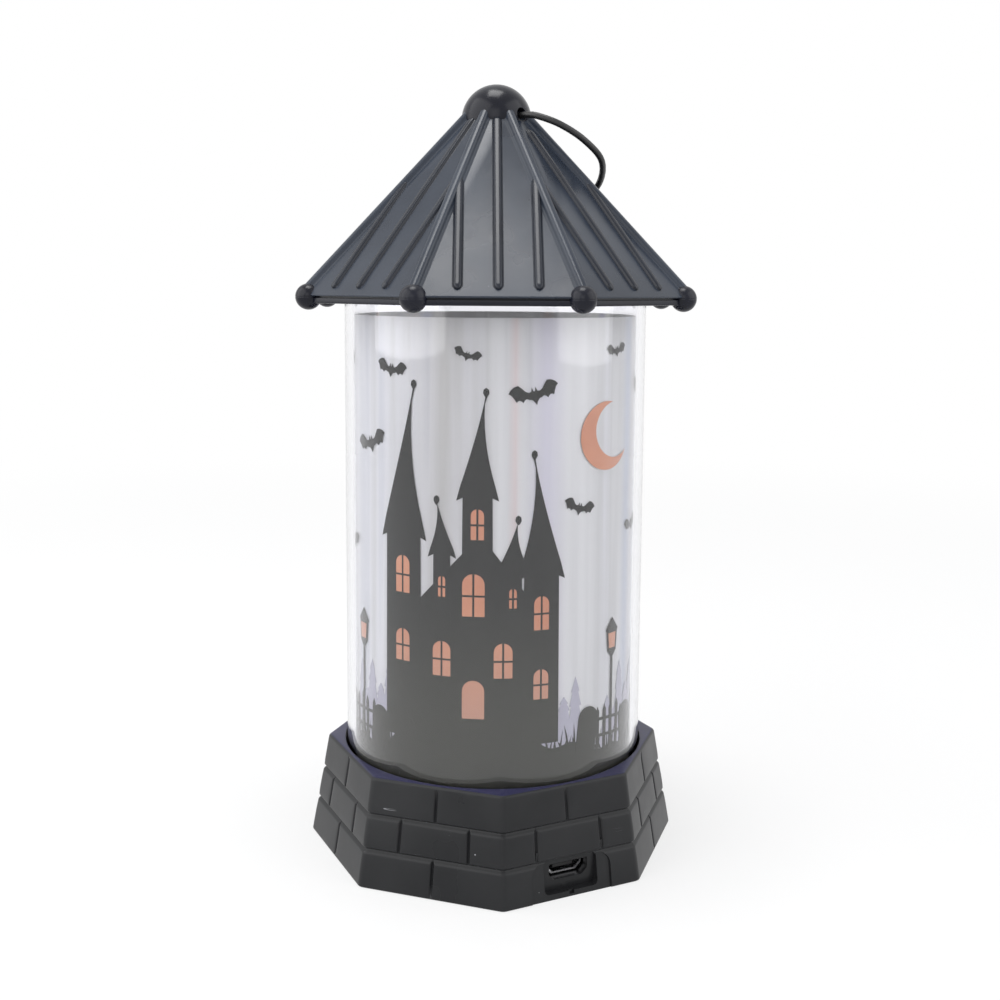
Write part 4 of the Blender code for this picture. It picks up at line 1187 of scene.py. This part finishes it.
fenceShape = {
    "spacing": 1.7,
    "half": 0.42,  # half the width of a board
    "tall": 8.2,
    "point": 1,
    "sunk": 1,
    "rails": (2.4, 5.6),
    "railThick": 0.6,
    "railExtra": 0.8,
}
bladeShape = {"half": 0.22, "sunk": 0.6, "tall": 2.0, "lean": 0.9, "bendAt": 0.55, "bendWidth": 0.1}
firShape = {"tall": 6, "sunk": 2, "foot": 1.7, "tiers": ((0.33, 0.9, 1.3), (0.66, 0.6, 0.9))}
doorPlace = (-0.2, 0.6, 3.6, 6.4)  # across, height, width, how tall
fences = ((19.6, 27.0), (32.8, 36.0), (-36.8, -27.2))
lampPosts = (23.4, -30.6)


def rolling(level, across, waves):  # a height with waves along the print
    return sum((height * sin(across * count * pi / halfPrint + turn) for height, count, turn in waves), level)


def groundAt(across):
    hill = printShape["hill"] * exp(-((across - printShape["houseAcross"]) / printShape["hillWidth"]) ** 2)
    return rolling(printShape["ground"] + hill, across, printShape["groundWaves"])


def ridgeAt(across):
    return rolling(printShape["ridge"], across, printShape["ridgeWaves"])


def moved(outline, across, height, grow=1.0, tilt=0.0):
    c, s = cos(radians(tilt)) * grow, sin(radians(tilt)) * grow
    return [(across + x * c - z * s, height + x * s + z * c) for x, z in outline]


def towerShape(foot, width, top, hat, lean):  # a wall and a pointed hat with hollow sides
    half, edge = width / 2, width / 2 + hatShape["overhang"]
    wall, eave, steps = half * hatShape["wallTaper"], top - hatShape["drop"], hatShape["steps"]
    right = [(half, foot), (wall, top), (edge, eave)]
    left = [(-edge, eave), (-wall, top), (-half, foot)]
    for step in range(1, steps):
        share = step / steps
        wide = edge * (1 - share) ** hatShape["hollow"]
        bend = lean * share ** 2
        right.append((wide + bend, top + hat * share))
        left.insert(0, (bend - wide, top + hat * share))
    tip = top + hat
    knob = [(lean + x, tip + z) for x, z in hatShape["knob"]] + [(lean, tip + hatShape["knobTop"])]
    knob += [(lean - x, tip + z) for x, z in hatShape["knob"][::-1]]
    return right + knob + left


def batShape():
    low = []
    for start, end in zip(batLow, batLow[1:]):
        middle = ((start[0] + end[0]) / 2, (start[1] + end[1]) / 2 + 0.17)
        for step in range(4):
            t = (step + 1) / 4
            low.append(tuple(a * (1 - t) ** 2 + 2 * m * t * (1 - t) + b * t * t
                             for a, m, b in zip(start, middle, end)))
    half = list(batTop) + low
    return half + [(-x, z) for x, z in half[-2:0:-1]]


def archShape(width, height):
    half = width / 2
    return [(-half, 0), (half, 0)] + arc(half, [pi * step / 12 for step in range(13)], y=height - half)


def panes(width, height, bar=0.34):  # the four lights of an arched window
    half, middle = width / 2, height * 0.48
    low = [[(bar / 2, 0), (half, 0), (half, middle - bar / 2), (bar / 2, middle - bar / 2)]]
    head = arc(half, [pi * step / 24 for step in range(12)], y=height - half)
    low.append([(bar / 2, middle + bar / 2), (half, middle + bar / 2)]
               + [point for point in head if point[0] > bar / 2] + [(bar / 2, height - 0.03 * half)])
    return low + [[(-x, z) for x, z in pane[::-1]] for pane in low]


def landscape(heightAt, foot, steps):  # all that lies under a line across the print
    places = [halfPrint * (1 - 2 * step / steps) for step in range(steps + 1)]
    return [(-halfPrint, foot), (halfPrint, foot)] + [(across, heightAt(across)) for across in places]


def farHills():  # pale hills with fir trees, low behind the fence
    outlines = [landscape(ridgeAt, printShape["ridgeFoot"], 60)]
    for tree in range(printShape["firs"]):
        across = -halfPrint + (tree + 0.5 + 0.3 * sin(tree * 5.1)) * 2 * halfPrint / printShape["firs"]
        tall, foot = firShape["tall"] + 2.4 * sin(tree * 2.3), firShape["foot"]
        half = [(x, tall * share) for share, *widths in firShape["tiers"] for x in widths]
        fir = [(-foot, -firShape["sunk"]), (foot, -firShape["sunk"])] + half + [(0, tall)]
        fir += [(-x, z) for x, z in half[::-1]]
        outlines.append(moved(fir, across, ridgeAt(across)))
    return outlines


def grass():
    outlines = []
    count, reach = printShape["blades"], halfPrint - 1
    for blade in range(count):
        across = -reach + 2 * reach * (blade + 0.4 * sin(blade * 3.7)) / count
        tall = bladeShape["tall"] + 1.2 * sin(blade * 1.9) + 0.6 * sin(blade * 4.3)
        lean, base = bladeShape["lean"] * sin(blade * 2.7), groundAt(across)
        half, foot = bladeShape["half"], base - bladeShape["sunk"]
        bend = (across + lean * 0.5 + bladeShape["bendWidth"], base + tall * bladeShape["bendAt"])
        outlines.append([(across - half, foot), (across + half, foot), bend, (across + lean, base + tall)])
    return outlines


def fence(start, end):
    outlines = []
    half, sunk, extra = fenceShape["half"], fenceShape["sunk"], fenceShape["railExtra"]
    count = max(int((end - start) / fenceShape["spacing"]), 1)
    for picket in range(count + 1):
        across = start + (end - start) * picket / count
        tall = fenceShape["tall"] + 0.5 * sin(picket * 2.9)
        shoulder = tall - fenceShape["point"]
        board = [(-half, -sunk), (half, -sunk), (half, shoulder), (0, tall), (-half, shoulder)]
        outlines.append(moved(board, across, groundAt(across), 1, 2.5 * sin(picket * 3.3)))
    ends = [(start - extra, groundAt(start)), (end + extra, groundAt(end))]
    for level in fenceShape["rails"]:
        low = [(x, z + level) for x, z in ends]
        outlines.append(low + [(x, z + fenceShape["railThick"]) for x, z in low[::-1]])
    return outlines


def lampPost(across):
    base = groundAt(across)
    post = [(-0.9, -1), (0.9, -1), (0.45, 1.6), (0.3, 2.4), (0.28, 17), (1.3, 18.2), (1.6, 22), (1.9, 22.2),
            (0, 24.6), (-1.9, 22.2), (-1.6, 22), (-1.3, 18.2), (-0.28, 17), (-0.3, 2.4), (-0.45, 1.6)]
    light = [(-0.85, 18.7), (0.85, 18.7), (1.1, 21.6), (-1.1, 21.6)]
    return moved(post, across, base), moved(light, across, base)


def crescent(across, height, radius):  # one circle less a smaller one beside it
    small, gap = printShape["moonInner"] * radius, printShape["moonShift"] * radius
    wide = acos((radius ** 2 + gap ** 2 - small ** 2) / (2 * radius * gap))
    narrow = acos((radius ** 2 - gap ** 2 - small ** 2) / (2 * small * gap))
    outer = [wide + (2 * pi - 2 * wide) * step / 30 for step in range(31)]
    inner = [2 * pi - narrow - (2 * pi - 2 * narrow) * step / 24 for step in range(1, 24)]
    return moved(arc(radius, outer) + arc(small, inner, x=gap), across, height, 1, printShape["moonTilt"])


def printOutlines():
    grow, middle = printShape["grow"], printShape["houseAcross"]
    ground = groundAt(middle) - 1.0
    black = [landscape(groundAt, filmLow.z / mm + 0.1, 72)] + grass()
    black.append(moved(hall, middle, ground, grow))
    for across, *size in towers:
        black.append(moved(towerShape(*size), middle + across * grow, ground, grow))
    for across, height, half, tilt in bats:
        black.append(moved(batShape(), across, height, half, tilt))
    for across, width, height, lean in graves:
        black.append(moved(archShape(width, height + 1.5), across, groundAt(across) - 1.5, 1, lean))
    for start, end in fences:
        black += fence(start, end)
    orange = [crescent(*printShape["moon"])]
    for across, height, width, tall in windows:
        for pane in panes(width, tall):
            orange.append(moved(pane, middle + across * grow, ground + height * grow, grow))
    across, height, width, tall = doorPlace
    orange.append(moved(archShape(width, tall), middle + across, ground + height, grow))
    for across in lampPosts:
        post, pane = lampPost(across)
        black.append(post)
        orange.append(pane)
    return black, orange


def wrapped(outlines, radius, azimuth):  # flat outlines in mm, as thin solids round the tube
    whole = bmesh.new()
    for index, outline in enumerate(outlines):
        flat = bmesh.new()
        flat.faces.new([flat.verts.new((x * mm, 0, z * mm)) for x, z in outline])
        flat.normal_update()
        bmesh.ops.triangulate(flat, faces=flat.faces[:])
        low, high = min(x for x, z in outline) * mm, max(x for x, z in outline) * mm
        strips = int((high - low) / printShape["bend"]) + 1
        for strip in range(1, strips):
            bmesh.ops.bisect_plane(flat, geom=flat.verts[:] + flat.edges[:] + flat.faces[:],
                                   plane_co=(low + (high - low) * strip / strips, 0, 0), plane_no=(1, 0, 0))
        bmesh.ops.extrude_face_region(flat, geom=flat.faces[:], use_keep_orig=True)
        flat.verts.ensure_lookup_table()
        half = len(flat.verts) // 2
        step = index % printShape["layers"] * printShape["layerStep"]
        for number, vert in enumerate(flat.verts):
            reach = radius + step + (printShape["thick"] if number >= half else 0)
            vert.co = outward(azimuth + vert.co.x / radius * 180 / pi, reach, vert.co.z)
        bmesh.ops.recalc_face_normals(flat, faces=flat.faces)
        pour(whole, flat)
    return whole


def makePrint(finishes):
    black, orange = printOutlines()
    lift, rise = printShape["lift"], printShape["thick"] + printShape["inkGap"]
    layers = (("printHills", farHills(), "inkGrey"), ("printNight", black, "inkBlack"),
              ("printGlow", orange, "inkOrange"))
    for order, (name, outlines, finish) in enumerate(layers):
        for side, azimuth in (("Front", 0), ("Back", 180)):
            ink = wrapped(outlines, filmRadius + lift + order * rise, azimuth)
            addPiece(name + side, ink, finishes[finish], ["printed_film"])
    print("night scene printed,", len(black) + len(orange), "shapes a side")


# floor, light and background

stageLook = {
    "floorSize": 6.0,
    "floorDrop": 0.00005,  # just clear of the foot
    "floorColour": (0.93, 0.93, 0.93),
    "floorWhite": 0.70,  # share of plain white that the camera sees on the floor by the lantern
    "whiteFrom": 0.16,
    "whiteTo": 0.60,  # and from here on it is all white
    "sky": 0.36,
    "skyColour": (0.96, 0.975, 1.0),
    "aim": (0, 0, 0.08),
}
lamps = (
    # name, place, width, height, watts
    ("leftSoft", (-0.60, -0.20, 0.42), 1.00, 0.84, 4.6),
    ("rightSoft", (0.66, -0.26, 0.42), 0.80, 0.84, 2.8),
    ("topSoft", (-0.05, 0.02, 0.95), 0.40, 0.40, 3.6),
    ("frontFill", (-0.20, -1.10, 0.50), 0.60, 0.60, 1.4),
)


def seenDirectly(tree):  # 1 for rays from the camera, in gloss and through clear plastic
    path = addNode(tree, "LightPath").outputs
    clear = addMath(tree, "MAXIMUM", path["Is Camera Ray"], path["Is Transmission Ray"])
    return addMath(tree, "MAXIMUM", clear, path["Is Glossy Ray"])


def makeStage():
    floor = bpy.data.meshes.new("floor")
    half = stageLook["floorSize"] / 2
    floor.from_pydata([(x, y, 0) for x, y in rectangle(half, -half, half)], [], [(0, 1, 2, 3)])
    made = intoScene("floor", floor)
    made.location.z = -stageLook["floorDrop"]
    paint, tree, shader = startMaterial("floorPaint")
    tree.nodes.remove(shader)
    matte = addNode(tree, "BsdfDiffuse", {"Color": stageLook["floorColour"]})
    distance = addNode(tree, "VectorMath", {0: ownPlace(tree)})
    distance.operation = "LENGTH"
    share = addRange(tree, distance.outputs["Value"], stageLook["whiteFrom"], stageLook["whiteTo"],
                     stageLook["floorWhite"])
    blended(tree, addMath(tree, "MULTIPLY", seenDirectly(tree), share), matte.outputs["BSDF"],
            addNode(tree, "Emission").outputs["Emission"], tree.nodes["Material Output"])
    floor.materials.append(paint)


def makeLights():
    for name, place, width, height, watts in lamps:
        data = bpy.data.lights.new(name, "AREA")
        data.shape = "RECTANGLE"
        data.size = width
        data.size_y = height
        data.energy = watts
        made = intoScene(name, data)
        made.location = place
        aim = Vector(stageLook["aim"]) - Vector(place)
        made.rotation_mode = "QUATERNION"
        made.rotation_quaternion = aim.to_track_quat("-Z", "Y")
    world = bpy.data.worlds.new("world")
    scene.world = world
    world.use_nodes = True
    tree = world.node_tree
    soft = tree.nodes["Background"]
    feed(tree, soft, {"Strength": stageLook["sky"], "Color": stageLook["skyColour"]})
    white = addNode(tree, "Background", {"Color": (1, 1, 1)})
    blended(tree, seenDirectly(tree), soft.outputs["Background"], white.outputs["Background"],
            tree.nodes["World Output"])
    print("floor, lamps and background ready")


# putting it together

scene.view_settings.view_transform = "Standard"
makeCamera()
finishes = makeFinishes()
dressNodes(finishes)
print("materials on the packed nodes")
makeLoop(finishes, makeKnots(finishes))
makeBase(finishes)
makeRoof(finishes)
makeEave(finishes)
makeTube(finishes)
makePrint(finishes)
makeStage()
makeLights()
